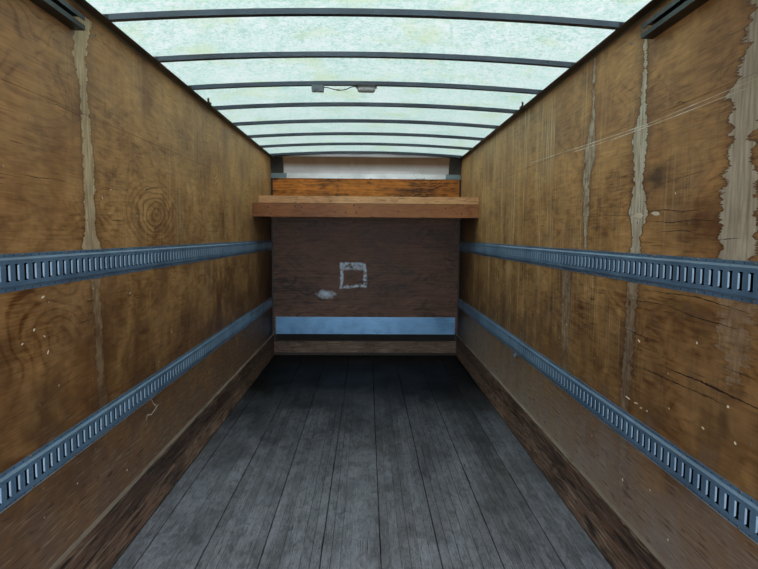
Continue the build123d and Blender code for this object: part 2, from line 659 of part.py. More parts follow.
TRACK_Y = REAR_Y + TRACK_SETBACK
CURVE_Y = TRACK_Y + TRACK_RADIUS
TRACK_Z = FLOOR_Z + TRACK_HEIGHT
CURVE_Z = TRACK_Z - TRACK_RADIUS


def track_band(half, x0, x1):
    """Band of the door track: up the post, round the curve and along the lining."""
    upright = block(x0, x1, TRACK_Y - half, TRACK_Y + half, FLOOR_Z, CURVE_Z)
    level = block(x0, x1, CURVE_Y, REAR_Y + TRACK_FRONT, TRACK_Z - half, TRACK_Z + half)
    centre = Pos((x0 + x1) / 2, CURVE_Y, CURVE_Z) * Rot(0, 90, 0)
    ring = centre * (Cylinder(TRACK_RADIUS + half, x1 - x0) - Cylinder(TRACK_RADIUS - half, x1 - x0))
    reach = TRACK_RADIUS + half
    ring &= block(x0, x1, CURVE_Y - reach, CURVE_Y, CURVE_Z, CURVE_Z + reach)
    return upright + ring + level


def door_track():
    """Channel section whose slot faces the middle of the body."""
    x0 = INSIDE_X - TRACK_WIDTH
    x1 = INSIDE_X - FIT
    track = track_band(TRACK_DEPTH / 2, x0, x1)
    track -= track_band(TRACK_DEPTH / 2 - TRACK_WALL, x0 + TRACK_WALL, x1 - TRACK_WALL)
    track -= track_band(TRACK_SLOT / 2, x0 - 1, x0 + TRACK_WALL)
    return track


def next_hinge(y, z, step):
    """The point on the track's centre line that lies one section towards the rear."""
    def apart(py, pz):
        return math.hypot(y - py, z - pz)
    if y - step >= CURVE_Y:
        return y - step, TRACK_Z
    if apart(TRACK_Y, CURVE_Z) <= step:
        return TRACK_Y, z - math.sqrt(step ** 2 - (y - TRACK_Y) ** 2)
    low, high = 0.0, math.pi / 2
    for _ in range(50):
        turn = (low + high) / 2
        point = (CURVE_Y - TRACK_RADIUS * math.sin(turn), CURVE_Z + TRACK_RADIUS * math.cos(turn))
        low, high = (turn, high) if apart(*point) < step else (low, turn)
    return point


def hinge_line():
    """Roller centres from the door's leading edge to its foot."""
    points = [(REAR_Y + DOOR_LEAD, TRACK_Z)]
    for _ in range(SECTION_COUNT):
        points.append(next_hinge(*points[-1], SECTION_HEIGHT))
    return points


def on_section(front, rear, x, along, off, size):
    """Block on a door section: along runs from the front hinge to the rear one, off to the outer side."""
    angle = math.degrees(math.atan2(front[1] - rear[1], front[0] - rear[0]))
    place = Pos(x, front[0], front[1]) * Rot(angle, 0, 0)
    return place * Pos(0, -along, off) * Box(*size)


def door_sections():
    """Six plywood sections, stored open in the tracks."""
    points = hinge_line()
    width = 2 * (INSIDE_X - TRACK_WIDTH - SECTION_SIDE_GAP)
    off = SECTION_OFFSET + SECTION_THICK / 2
    size = (width, SECTION_HEIGHT - SECTION_JOINT, SECTION_THICK)
    return [on_section(front, rear, 0, SECTION_HEIGHT / 2, off, size) for front, rear in zip(points, points[1:])]


def door_hinges():
    """Hinge leaves on the inner face of the sections, on both sides of each joint."""
    points = hinge_line()
    off = SECTION_OFFSET - FIT - HINGE_THICK / 2
    leaf_length = HINGE_LENGTH / 2 - FIT
    leaf = (HINGE_WIDTH, leaf_length, HINGE_THICK)
    hinges = []
    for x in HINGE_PLACES:
        for front, rear in zip(points, points[1:]):
            for along in (FIT + leaf_length / 2, SECTION_HEIGHT - FIT - leaf_length / 2):
                hinges.append(on_section(front, rear, x, along, off, leaf))
    return hinges


def door_rollers():
    """Rollers in the tracks on stems that come out of the outer hinges."""
    rollers = []
    x_roller = INSIDE_X - TRACK_WIDTH / 2
    x_stem = HINGE_PLACES[-1] + HINGE_WIDTH / 2 + FIT
    stem_outline = RegularPolygon(STEM_RADIUS, STEM_SIDES)
    wheel_radius = TRACK_DEPTH / 2 - TRACK_WALL - FIT
    wheel_outline = RegularPolygon(wheel_radius, ROLLER_SIDES)
    for y, z in hinge_line():
        side = Plane(origin=(0, y, z), x_dir=(0, 1, 0), z_dir=(1, 0, 0))
        stem = extrude(side.offset(x_stem) * stem_outline, amount=x_roller - x_stem)
        wheel = extrude(side.offset(x_roller) * wheel_outline, amount=ROLLER_WIDTH)
        rollers += pair(stem + wheel)
    return rollers


def spring_shaft():
    """Counterbalance shaft between the posts with two springs, and its brackets on the header."""
    y = REAR_Y + TRACK_SETBACK
    z = FLOOR_Z + SHAFT_HEIGHT
    half = INSIDE_X - FIT
    near = (INSIDE_X - SPRING_LENGTH) / 2
    far = near + SPRING_LENGTH
    outline = [(0, 0), (0, SHAFT_RADIUS), (near, SHAFT_RADIUS), (near, SPRING_RADIUS), (far, SPRING_RADIUS),
               (far, SHAFT_RADIUS), (half, SHAFT_RADIUS), (half, 0)]
    profile = make_face(Polyline(*[(x, y, z + r) for x, r in outline], close=True))
    shaft = revolve(profile, axis=Axis((0, y, z), (1, 0, 0)))
    pieces = pair(shaft)
    bracket = block(far + FIT, far + FIT + SHAFT_BRACKET, REAR_Y + FRAME_WALL + FIT, y - SHAFT_RADIUS - FIT,
                    z - SPRING_RADIUS, z + SPRING_RADIUS)
    return [pieces[0] + pieces[1]] + pair(bracket)


# Lamp, switch and wire

LAMP_Y = bow_places()[BOWS_BEHIND_LAMP_COUNT] + BOW_WIDTH / 2


def bow_under(x):
    """Height of the bows' underside over the place x."""
    return roof_z(x, BOW_RADIUS)


def dome_lamp():
    """Oblong lamp base with a lower dome, screwed under the bow."""
    top = bow_under(LAMP_LENGTH / 2) - FIT
    base = block(-LAMP_LENGTH / 2, LAMP_LENGTH / 2, LAMP_Y - LAMP_WIDTH / 2, LAMP_Y + LAMP_WIDTH / 2,
                 top - LAMP_BASE, top)
    inset = LAMP_BASE
    dome = block(-LAMP_LENGTH / 2 + inset, LAMP_LENGTH / 2 - inset, LAMP_Y - LAMP_WIDTH / 2 + inset,
                 LAMP_Y + LAMP_WIDTH / 2 - inset, top - LAMP_BASE - LAMP_DOME, top - LAMP_BASE)
    dome = chamfer(dome.faces().sort_by(Axis.Z)[0].edges(), LAMP_BASE)
    return base + dome


def lamp_switch():
    """Switch box under the bow."""
    length, depth, height = SWITCH_SIZE
    top = bow_under(abs(SWITCH_PLACE) + length / 2) - FIT
    box = block(SWITCH_PLACE - length / 2, SWITCH_PLACE + length / 2, LAMP_Y - depth / 2, LAMP_Y + depth / 2,
                top - height, top)
    return chamfer(box.faces().sort_by(Axis.Z)[0].edges(), LAMP_BASE / 3)


def lamp_wire():
    """Wire that sags from the switch box to the lamp."""
    start_x = SWITCH_PLACE + SWITCH_SIZE[0] / 2
    end_x = -LAMP_LENGTH / 2
    z = bow_under(LAMP_LENGTH / 2) - FIT - LAMP_BASE / 2
    span = end_x - start_x
    points = [Vector(start_x + share * span, LAMP_Y + y, z + dz) for share, y, dz in WIRE_ROUTE]
    runs = [(b - a) for a, b in zip(points, points[1:])]
    radii = []
    for first, second in zip(runs, runs[1:]):
        half_turn = math.radians(first.get_angle(second)) / 2
        radii.append(0.45 * min(first.length, second.length) / math.tan(half_turn))
    print("lamp wire radii", [round(radius) for radius in radii])
    path = FilletPolyline(*points, radius=radii)
    section = Plane(origin=points[0], z_dir=path % 0) * RegularPolygon(WIRE_RADIUS, WIRE_SIDES)
    wire = sweep(section, path=path)
    print("lamp wire volume against section times length", round(wire.volume / (section.area * path.length), 4))
    return wire


# One row for each piece that is the same on both sides: node name, right piece
SIDE_NODES = (
    ("bottom_rail", bottom_rail()),
    ("side_panels", side_panels()),
    ("side_lining", side_lining()),
    ("kick_boards", kick_boards()),
    ("top_rail", top_rail()),
)
for node, shape in SIDE_NODES:
    write_sides(node, shape)
for row, ridge in RAIL_RIDGE_HEIGHTS.items():
    write_sides(f"logistic_rail_{row}", logistic_rail(ridge))

# One row for each other piece: node name, shape
NODES = (
    ("long_sills", long_sills()),
    ("crossmembers", crossmembers()),
    ("floor_boards", floor_boards()),
    ("roof_bows", [roof_bow(y) for y in bow_places()]),
    ("roof_sheet", roof_sheet()),
    ("front_corner_posts", pair(corner_post())),
    ("front_corner_caps", pair(corner_cap())),
    ("front_panels", front_panels()),
    ("front_bottom_rail", front_bottom_rail()),
    ("front_top_rail", front_top_rail()),
    ("front_lining", front_lining()),
    ("front_scuff_band", front_scuff_band()),
    ("front_kick_board", front_kick_board()),
    ("front_corner_angles", front_corner_angles()),
    ("front_lip", front_lip()),
    ("front_cove_panel", cove(-COVE_HALF_WIDTH, COVE_HALF_WIDTH)),
    ("front_corner_gussets", pair(corner_gusset())),
    ("shelf_deck", shelf_deck()),
    ("shelf_front_boards", shelf_front_boards()),
    ("shelf_joists", shelf_joists()),
    ("rear_posts", pair(rear_post())),
    ("rear_header", rear_header()),
    ("rear_threshold", rear_threshold()),
    ("rear_lamps", [rear_lamp(x, 0) for x in REAR_LAMP_PLACES]),
    ("marker_lamps", marker_lamps()),
    ("door_tracks", pair(door_track())),
    ("door_sections", door_sections()),
    ("door_hinges", door_hinges()),
    ("door_rollers", door_rollers()),
    ("spring_shaft", spring_shaft()),
    ("dome_lamp", dome_lamp()),
    ("lamp_switch", lamp_switch()),
    ("lamp_wire", lamp_wire()),
)
for node, shape in NODES:
    write(node, shape)
print(2 * len(SIDE_NODES) + 2 * len(RAIL_RIDGE_HEIGHTS) + len(NODES), "nodes")
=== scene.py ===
# %% [markdown]
# # The cargo box of a box truck
# The part is the body behind the cab: a long room with plywood walls, slotted steel rails for straps,
# arched bows under a translucent roof, a shelf at the front wall and a roll-up door that stands open.
# The solid model is loaded in place, in metres. X runs to the right, Y from the rear doorway to the
# front wall and Z up. This file dresses it. The solids keep their shapes and get finishes, and the small
# things that a solid model leaves out, such as rivets, lips and lenses, are built as meshes.

# %% Load the solid model and keep its box
import math
import random

import bmesh
import bpy
from mathutils import Matrix, Vector


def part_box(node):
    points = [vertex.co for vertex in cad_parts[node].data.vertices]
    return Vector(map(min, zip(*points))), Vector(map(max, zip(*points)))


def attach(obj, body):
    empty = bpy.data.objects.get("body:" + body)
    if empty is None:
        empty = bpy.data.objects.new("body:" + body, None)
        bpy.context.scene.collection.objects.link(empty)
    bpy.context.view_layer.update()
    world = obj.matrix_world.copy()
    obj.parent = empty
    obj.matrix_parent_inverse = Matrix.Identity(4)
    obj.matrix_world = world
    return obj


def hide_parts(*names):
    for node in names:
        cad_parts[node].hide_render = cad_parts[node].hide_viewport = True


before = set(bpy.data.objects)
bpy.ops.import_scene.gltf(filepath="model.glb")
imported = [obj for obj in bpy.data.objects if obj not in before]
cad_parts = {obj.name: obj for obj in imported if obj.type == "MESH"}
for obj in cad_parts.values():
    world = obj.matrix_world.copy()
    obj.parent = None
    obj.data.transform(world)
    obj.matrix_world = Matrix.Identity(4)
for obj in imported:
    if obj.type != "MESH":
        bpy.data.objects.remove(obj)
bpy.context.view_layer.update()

scene = bpy.context.scene
scene.view_settings.view_transform = "Standard"
BODY = "root"

# %% [markdown]
# ## The camera
# The picture was taken from the rear doorway with a wide lens, at eye height above the floor. The lens
# and the three turns were worked out from edges that are known to be level, upright or parallel, such as
# the long rails. A camera in Blender looks along its own minus Z, so its matrix has the picture's right,
# the picture's top and the way back as its three columns.

# %% Camera
CAMERA_PLACE = Vector((0.0078, -3.6385, 1.7446))
TURN_RIGHT, LOOK_DOWN, LEAN = 0.0217, 0.0853, 0.0074
LENS_MM, SENSOR_MM = 27.55, 36.0

ahead = Vector((math.sin(TURN_RIGHT) * math.cos(LOOK_DOWN), math.cos(TURN_RIGHT) * math.cos(LOOK_DOWN),
                -math.sin(LOOK_DOWN)))
level = Vector((math.cos(TURN_RIGHT), -math.sin(TURN_RIGHT), 0.0))
upright = level.cross(ahead)
picture_right = level * math.cos(LEAN) + upright * math.sin(LEAN)
picture_top = upright * math.cos(LEAN) - level * math.sin(LEAN)
camera_data = bpy.data.cameras.new("doorway_camera")
camera_data.lens = LENS_MM
camera_data.sensor_width = SENSOR_MM
camera_data.sensor_fit = "HORIZONTAL"
camera_data.clip_start = 0.01
camera = bpy.data.objects.new("doorway_camera", camera_data)
turned = Matrix((picture_right, picture_top, -ahead)).transposed().to_4x4()
camera.matrix_world = Matrix.Translation(CAMERA_PLACE) @ turned
scene.collection.objects.link(camera)
scene.camera = camera
print("camera looks along", [round(v, 3) for v in ahead])

# %% [markdown]
# ## Adding shader nodes in few words
# A finish in Blender is a small graph of nodes. Written out, each node takes four or five lines, which
# hides what the finish is. So a number that the graph works out is wrapped as a Value, and a plain sum
# with it adds the node for that sum. The other helpers make noises whose grains have a size in metres,
# slopes, blends and colours. The textures use object coordinates, so they have the real scale everywhere.

# %% Helpers for shader nodes
class Value:
    """A number that a node tree works out. A sum with it adds a node and gives the next Value."""
    def __init__(self, socket):
        self.socket, self.tree = socket, socket.id_data

    def __add__(self, other):
        return calc("ADD", self, other)

    def __sub__(self, other):
        return calc("SUBTRACT", self, other)

    def __rsub__(self, other):
        return calc("SUBTRACT", other, self)

    def __mul__(self, other):
        return calc("MULTIPLY", self, other)

    def __truediv__(self, other):
        return calc("DIVIDE", self, other)

    def __pow__(self, other):
        return calc("POWER", self, other)

    def __abs__(self):
        return calc("ABSOLUTE", self)


def feed(socket, value):
    """Link a socket from another one, or give it a number or a colour."""
    value = value.socket if isinstance(value, Value) else value
    if isinstance(value, bpy.types.NodeSocket):
        value.id_data.links.new(value, socket)
    else:
        socket.default_value = value


def node(tree, kind, sockets=None, **settings):
    """Add one shader node with its settings, and feed its sockets."""
    made = tree.nodes.new(kind)
    for name, value in settings.items():
        setattr(made, name, value)
    for name, value in (sockets or {}).items():
        feed(made.inputs[name], value)
    return made


def calc(operation, first, second=0.0, clamp=False):
    """The node for one sum. At least one side is a Value."""
    tree = (first if isinstance(first, Value) else second).tree
    made = node(tree, "ShaderNodeMath", {0: first, 1: second}, operation=operation, use_clamp=clamp)
    return Value(made.outputs[0])


def rgb(red, green, blue):
    """A colour as it is named on screen, 0 to 255, turned into the linear values that shaders use."""
    return tuple((v / 255 / 12.92 if v < 10 else ((v / 255 + 0.055) / 1.055) ** 2.4)
                 for v in (red, green, blue)) + (1.0,)


def mixed(share, first, second, blend="MIX"):
    """Blend of two colours."""
    return node(share.tree, "ShaderNodeMix", {0: share, 6: first, 7: second}, data_type="RGBA",
                blend_type=blend).outputs[2]


def ramp(factor, stops):
    """Colours along a factor, one (place, colour) for each stop."""
    made = node(factor.tree, "ShaderNodeValToRGB", {"Fac": factor})
    elements = made.color_ramp.elements
    while len(elements) < len(stops):
        elements.new(0.5)
    for element, (place, colour) in zip(elements, stops):
        element.position = place
        element.color = colour
    return made.outputs["Color"]


def noise(tree, size, along=None, drawn_out=1.0, detail=3.0, twist=0.0, flat=()):
    """Noise with grains of a size in metres, drawn out along one axis and constant along the flat ones."""
    place = node(tree, "ShaderNodeTexCoord").outputs["Object"]
    scale = [0.0 if axis in flat else 1.0 / (size * (drawn_out if axis == along else 1.0)) for axis in "XYZ"]
    spread = node(tree, "ShaderNodeMapping", {"Vector": place, "Scale": scale}).outputs["Vector"]
    made = node(tree, "ShaderNodeTexNoise", {"Vector": spread, "Scale": 1.0, "Detail": detail,
                                             "Distortion": twist})
    return Value(made.outputs["Fac"])


def spot(value, low, high):
    """0 below the low value, 1 above the high one and a slope between them."""
    made = node(value.tree, "ShaderNodeMapRange", {"Value": value, "From Min": low, "From Max": high})
    return Value(made.outputs["Result"])


def parts(source, kind="ShaderNodeSeparateXYZ"):
    """The three parts of a vector or a colour."""
    return [Value(socket) for socket in node(source.id_data, kind, {0: source}).outputs]


def places(tree):
    """The object's own X, Y and Z."""
    return parts(node(tree, "ShaderNodeTexCoord").outputs["Object"])


def upward_face(tree, low, high):
    """A share that grows with how far a face looks up."""
    return spot(parts(node(tree, "ShaderNodeNewGeometry").outputs["Normal"])[2], low, high)


def new_finish(name):
    """An empty finish and its node tree."""
    finish = bpy.data.materials.new(name)
    finish.use_nodes = True
    return finish, finish.node_tree


def close_finish(finish, colour, rough, height, bump_depth, **fixed):
    """Give the shader its colour, roughness and bump, and the sockets that are the same all over."""
    inputs = finish.node_tree.nodes["Principled BSDF"].inputs
    feed(inputs["Base Color"], colour)
    feed(inputs["Roughness"], rough)
    bump = node(finish.node_tree, "ShaderNodeBump",
                {"Height": height, "Strength": 1.0, "Distance": bump_depth})
    feed(inputs["Normal"], bump.outputs["Normal"])
    for name, value in fixed.items():
        inputs[name.replace("_", " ")].default_value = value


def overlay(finish, share, colour, blend="MIX"):
    """Lay one more colour over a finish that is closed already."""
    socket = finish.node_tree.nodes["Principled BSDF"].inputs["Base Color"]
    feed(socket, mixed(share, socket.links[0].from_socket, colour, blend))
    return finish

# %% [markdown]
# ## Daylight and the ground
# Inside the body nearly all light comes through the roof sheet and the open doorway. So the sky is an
# even pale world of strength near 1, at which a colour renders about as it is written, and the sheet
# lets it through. One wide lamp behind the doorway stands for the open yard, and one above gives the
# outside a soft side that is lit more. The ground is a plain pale stage, which isn't part of the object.

# %% Sky, lamps and ground
SKY_COLOUR, SKY_STRENGTH = (0.95, 0.98, 1.0, 1.0), 1.0
world = bpy.data.worlds.new("even_sky")
world.use_nodes = True
sky = world.node_tree.nodes["Background"].inputs
sky["Color"].default_value = SKY_COLOUR
sky["Strength"].default_value = SKY_STRENGTH
scene.world = world

# One row for each lamp: name, place, what it looks at, size, power
LAMPS = (
    ("yard_lamp", (0.3, -7.0, 2.2), (0.0, 0.0, 0.9), 3.2, 230.0),
    ("high_lamp", (-5.0, -4.0, 8.5), (0.0, 0.0, 1.2), 5.0, 110.0),
)
for name, place, target, size, power in LAMPS:
    lamp_data = bpy.data.lights.new(name, "AREA")
    lamp_data.shape = "SQUARE"
    lamp_data.size = size
    lamp_data.energy = power
    lamp = bpy.data.objects.new(name, lamp_data)
    lamp.location = place
    lamp.rotation_euler = (Vector(target) - Vector(place)).to_track_quat("-Z", "Y").to_euler()
    lamp.visible_camera = False
    scene.collection.objects.link(lamp)

GROUND_REACH = 60.0
ground_finish, ground_tree = new_finish("pale_ground")
ground_grain = noise(ground_tree, 0.4, detail=5.0)
ground_colour = ramp(ground_grain, ((0.3, rgb(205, 206, 205)), (0.7, rgb(214, 214, 212))))
close_finish(ground_finish, ground_colour, spot(ground_grain, -1.0, 1.2), ground_grain, 0.0005)
ground_mesh = bpy.data.meshes.new("pale_ground")
corners = [(x * GROUND_REACH, y * GROUND_REACH, 0) for x, y in ((-1, -1), (1, -1), (1, 1), (-1, 1))]
ground_mesh.from_pydata(corners, [], [(0, 1, 2, 3)])
ground_mesh.materials.append(ground_finish)
ground = bpy.data.objects.new("pale_ground", ground_mesh)
scene.collection.objects.link(ground)
print("lamps", [row[0] for row in LAMPS])

# %% [markdown]
# ## Steel, paint and plastic
# Plain metal and paint are never one colour. They carry dust in large soft patches, fine scratches along
# the way that things slide past, and a few specks of rust or dirt. One recipe makes all of these
# finishes: a base colour, a second colour for the patches, the direction of the scratches, and a share of
# specks. Only the numbers differ, so a table with one row for each finish is enough.

# %% Finishes of metal, paint and plastic
def worn_finish(name, base, patch, along, rough, metallic, scratches, specks, speck_colour, bump_depth):
    """Metal, paint or plastic with soft patches, scratches along one way and specks."""
    finish, tree = new_finish(name)
    cloud = noise(tree, 0.22, detail=4.0, twist=0.4)
    colour = mixed(spot(cloud, 0.40, 0.68), base, patch)
    scratch = spot(noise(tree, 0.0022, along, 45.0, detail=2.0), 0.60, 0.74)
    bright = tuple(min(1.0, c * 1.9 + 0.04) for c in base[:3]) + (1.0,)
    colour = mixed(scratch * scratches, colour, bright)
    grit = noise(tree, 0.011, detail=4.0)
    rare = spot(noise(tree, 0.13, detail=2.0), 0.44, 0.66)
    speck = spot(grit, 0.66 - 0.10 * specks, 0.72) * rare
    colour = mixed(speck, colour, speck_colour)
    roughness = cloud * 0.30 + (rough - 0.15)
    roughness = calc("ADD", roughness, speck * 0.3, clamp=True)
    height = grit * 0.5 - scratch
    close_finish(finish, colour, roughness, height, bump_depth, Metallic=metallic)
    return finish


RUST = rgb(104, 62, 36)
GRIME = rgb(38, 36, 33)
# One row for each finish: name, base, patches, scratches along, roughness, metal, scratch share, specks,
# colour of the specks, bump depth
WORN = (
    ("rail_steel", rgb(102, 137, 170), rgb(82, 113, 143), "Y", 0.40, 0.20, 0.35, 0.6, RUST, 0.00015),
    # Paler steel of the front slot lips: rubbing, and a painted highlight of the doorway light.
    ("rubbed_steel_painted_highlight", rgb(168, 200, 230), rgb(146, 178, 210), "Z", 0.34, 0.0, 0.30, 0.3, RUST, 0.0001),
    ("crack_dirt", rgb(40, 26, 18), rgb(58, 38, 24), "Y", 0.70, 0.0, 0.05, 0.2, rgb(90, 62, 40), 0.0001),
    ("track_steel", rgb(44, 51, 53), rgb(32, 37, 39), "Y", 0.42, 0.40, 0.25, 0.5, GRIME, 0.0001),
    ("galvanised", rgb(136, 145, 152), rgb(118, 127, 134), "X", 0.52, 0.15, 0.25, 0.4, GRIME, 0.0001),
    ("scuff_band", rgb(112, 166, 216), rgb(88, 138, 186), "X", 0.34, 0.35, 0.50, 0.5, GRIME, 0.0001),
    ("aluminium", rgb(186, 188, 190), rgb(174, 177, 180), "Y", 0.38, 0.85, 0.25, 0.3, GRIME, 0.0001),
    ("front_aluminium", rgb(186, 188, 190), rgb(174, 177, 180), "X", 0.38, 0.85, 0.25, 0.3, GRIME, 0.0001),
    ("lip_aluminium", rgb(214, 218, 220), rgb(186, 190, 194), "X", 0.32, 0.55, 0.30, 0.3, GRIME, 0.0001),
    ("frame_steel", rgb(44, 45, 47), rgb(60, 56, 52), "Y", 0.55, 0.0, 0.10, 0.9, RUST, 0.0003),
    ("gusset_steel", rgb(40, 40, 41), rgb(60, 58, 56), "Z", 0.50, 0.2, 0.10, 0.3, GRIME, 0.0002),
    ("bow_steel", rgb(96, 108, 122), rgb(80, 90, 104), "X", 0.48, 0.25, 0.12, 0.3, GRIME, 0.0001),
    ("dark_trim", rgb(34, 36, 38), rgb(52, 52, 50), "Y", 0.50, 0.2, 0.15, 0.5, RUST, 0.0002),
    ("cove_paint", rgb(204, 200, 204), rgb(192, 188, 192), "X", 0.22, 0.0, 0.05, 0.2, GRIME, 0.00005),
    ("door_paint", rgb(214, 214, 208), rgb(196, 196, 190), "X", 0.42, 0.0, 0.12, 0.4, GRIME, 0.0002),
    ("roller_plastic", rgb(202, 196, 180), rgb(160, 152, 138), "X", 0.45, 0.0, 0.10, 0.6, GRIME, 0.0001),
    ("box_plastic", rgb(46, 48, 52), rgb(58, 60, 64), "X", 0.40, 0.0, 0.08, 0.3, rgb(90, 88, 84), 0.00008),
    ("switch_plastic", rgb(96, 106, 118), rgb(112, 120, 130), "X", 0.40, 0.0, 0.08, 0.3, rgb(70, 68, 64),
     0.00008),
    ("wire_sheath", rgb(38, 40, 44), rgb(52, 54, 58), "X", 0.42, 0.0, 0.05, 0.2, rgb(96, 94, 90), 0.00005),
    ("screw_steel", rgb(150, 150, 146), rgb(110, 104, 96), "Y", 0.35, 0.9, 0.20, 0.8, RUST, 0.00005),
    ("bare_wood", rgb(236, 228, 210), rgb(200, 182, 150), "Y", 0.60, 0.0, 0.20, 0.3, rgb(120, 92, 60),
     0.0001),
    ("splinter_wood", rgb(138, 114, 96), rgb(66, 46, 38), "Y", 0.60, 0.0, 0.40, 0.3, rgb(36, 26, 22),
     0.0002),
    # A near black strip in the front gap: painted shade.
    ("gap_painted_shade", rgb(12, 11, 16), rgb(18, 17, 20), "X", 0.80, 0.0, 0.05, 0.2, rgb(40, 38, 36), 0.0001),
)
finishes = {row[0]: worn_finish(*row) for row in WORN}
print(len(finishes), "worn finishes")

# %% [markdown]
# ## The wire between the switch box and the lamp
# A short two-core wire leaves the switch box, hangs in a shallow sag below the bow and goes into the
# lamp. It could be a bent cylinder, but a wire has one smooth line. A NURBS curve of order 3 through a
# few control points gives that line, and a round bevel gives the thickness. The small sleeve at its
# lowest point is a crimp that joins two ends.

# %% Lamp wire
WIRE_DIAMETER = 0.006
WIRE_POINTS = (
    (-0.277, 0.2587, 2.7035), (-0.255, 0.2587, 2.7035), (-0.219, 0.2547, 2.6915), (-0.177, 0.2527, 2.6845),
    (-0.133, 0.2547, 2.6895), (-0.093, 0.2587, 2.7115), (-0.069, 0.2587, 2.7115),
)
wire_curve = bpy.data.curves.new("hanging_lamp_wire", "CURVE")
wire_curve.dimensions = "3D"
wire_spline = wire_curve.splines.new("NURBS")
wire_spline.points.add(len(WIRE_POINTS) - 1)
for point, place in zip(wire_spline.points, WIRE_POINTS):
    point.co = (*place, 1.0)
wire_spline.order_u = 3
wire_spline.use_endpoint_u = True
wire_spline.resolution_u = 12
wire = bpy.data.objects.new("hanging_lamp_wire", wire_curve)
scene.collection.objects.link(wire)
wire_line = bpy.data.meshes.new_from_object(wire)
wire_path = [vertex.co.copy() for vertex in wire_line.vertices]
wire_curve.bevel_depth = WIRE_DIAMETER / 2
wire_curve.bevel_resolution = 4
wire_curve.materials.append(finishes["wire_sheath"])
drawn = sum((b - a).length for a, b in zip(wire_path, wire_path[1:]))
print("wire line", round(drawn, 4), "m in", len(wire_path), "points")

# %% [markdown]
# ## Rings of points joined into forms
# Rivets, lips, lenses and springs all have the same make: a row of rings, each a closed loop of points,
# joined by faces. A spun form has round rings of changing radius, and a bent strip has its cross-section
# again and again along a line. One function joins the rings, and one turns the result into a piece that
# rides on the body and carries the finish it is given.

# %% Helpers for meshes
def join_rings(shape, rings):
    """Join closed rings of points with faces, and close the first and the last ring."""
    loops = [[shape.verts.new(point) for point in ring] for ring in rings]
    for low, high in zip(loops, loops[1:]):
        for i in range(len(low)):
            j = (i + 1) % len(low)
            shape.faces.new((low[i], low[j], high[j], high[i]))
    shape.faces.new(list(reversed(loops[0])))
    shape.faces.new(loops[-1])


def spun(shape, place, facing, profile, sides):
    """Spin a profile of (radius, height) pairs round the facing direction."""
    facing = Vector(facing).normalized()
    across = facing.orthogonal().normalized()
    around = facing.cross(across)
    turns = [math.tau * i / sides for i in range(sides)]
    rings = [[Vector(place) + facing * height + (across * math.cos(t) + around * math.sin(t)) * radius
              for t in turns] for radius, height in profile]
    join_rings(shape, rings)


def slab(shape, low, high, edge):
    """Block between two corners with its edges taken off all round."""
    low, high = Vector(low), Vector(high)

    def ring(inset, z):
        x0, x1, y0, y1 = low.x + inset, high.x - inset, low.y + inset, high.y - inset
        return [(x0 + edge, y0, z), (x1 - edge, y0, z), (x1, y0 + edge, z), (x1, y1 - edge, z),
                (x1 - edge, y1, z), (x0 + edge, y1, z), (x0, y1 - edge, z), (x0, y0 + edge, z)]
    join_rings(shape, [ring(edge, low.z), ring(0, low.z + edge), ring(0, high.z - edge), ring(edge, high.z)])


def make_piece(name, shape, finish, smooth=False):
    """Turn the mesh under construction into a piece that rides on the body."""
    bmesh.ops.recalc_face_normals(shape, faces=shape.faces)
    mesh = bpy.data.meshes.new(name)
    shape.to_mesh(mesh)
    shape.free()
    mesh.materials.append(finish)
    if smooth:
        mesh.polygons.foreach_set("use_smooth", [True] * len(mesh.polygons))
    piece = bpy.data.objects.new(name, mesh)
    scene.collection.objects.link(piece)
    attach(piece, BODY)
    triangles = sum(len(polygon.vertices) - 2 for polygon in mesh.polygons)
    print(name, triangles, "triangles")
    return piece

# %% Crimp sleeve on the wire, and the wire attached to the body in place of the solid one
LOWEST = len(wire_path) // 2 - 3
along_wire = (wire_path[LOWEST + 1] - wire_path[LOWEST - 1]).normalized()
sleeve_shape = bmesh.new()
SLEEVE_PROFILE = ((0.0034, -0.011), (0.0048, -0.010), (0.0048, -0.003), (0.0040, -0.001), (0.0040, 0.002),
                  (0.0048, 0.004), (0.0048, 0.010), (0.0034, 0.011))
spun(sleeve_shape, wire_path[LOWEST], along_wire, SLEEVE_PROFILE, 14)
wire_sleeve = make_piece("wire_crimp_sleeve", sleeve_shape, finishes["box_plastic"], True)
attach(wire, BODY)
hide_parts("lamp_wire")

# %% [markdown]
# ## Plywood
# The linings are sheets of peeled softwood plywood. Peeling a log on a lathe gives wide, flame-shaped
# figures and swirls round old knots, not straight lines. A noise that is drawn out along the grain is
# folded many times into rings by a sine, which gives those closed flames. A second noise, hair thin and
# very long, is the fibre. Slow patches of tone, dark checks along the grain and dirt that grows towards
# the floor make it an old lining. An image could show one sheet, but would repeat on the others.

# %% Wood in general
def wood_look(tree, along, figure_size, folds, pale, dark, fibre_size, flame=1.0, cloudy=0.0, fibres=0.42):
    """Colour and height of wood whose grain runs along one axis, with a share of cloudy middle-sized tone."""
    figure = noise(tree, figure_size, along, 2.4, detail=1.5, twist=0.3)
    rings = calc("SINE", figure * (folds * math.tau))
    bold = spot(noise(tree, 0.45, along, 1.3, detail=2.0), 0.40, 0.64)
    lines = spot(rings, 0.25, 1.0) * (bold * 0.8 + 0.2)
    fibre = spot(noise(tree, fibre_size, along, 26.0, detail=4.0), 0.28, 0.72)
    patch = noise(tree, 0.30, along, 1.5, detail=5.0)
    tone = (fibre - 0.5) * fibres + 0.45 + (patch - 0.5) - lines * (0.24 * flame)
    if cloudy:
        tone = tone + (noise(tree, 0.055, along, 3.0, detail=6.0, twist=1.6) - 0.5) * cloudy
    middle_colour = tuple((a + b) / 2 for a, b in zip(pale, dark))
    colour = ramp(tone, ((0.08, dark), (0.42, middle_colour), (0.85, pale)))
    return colour, tone


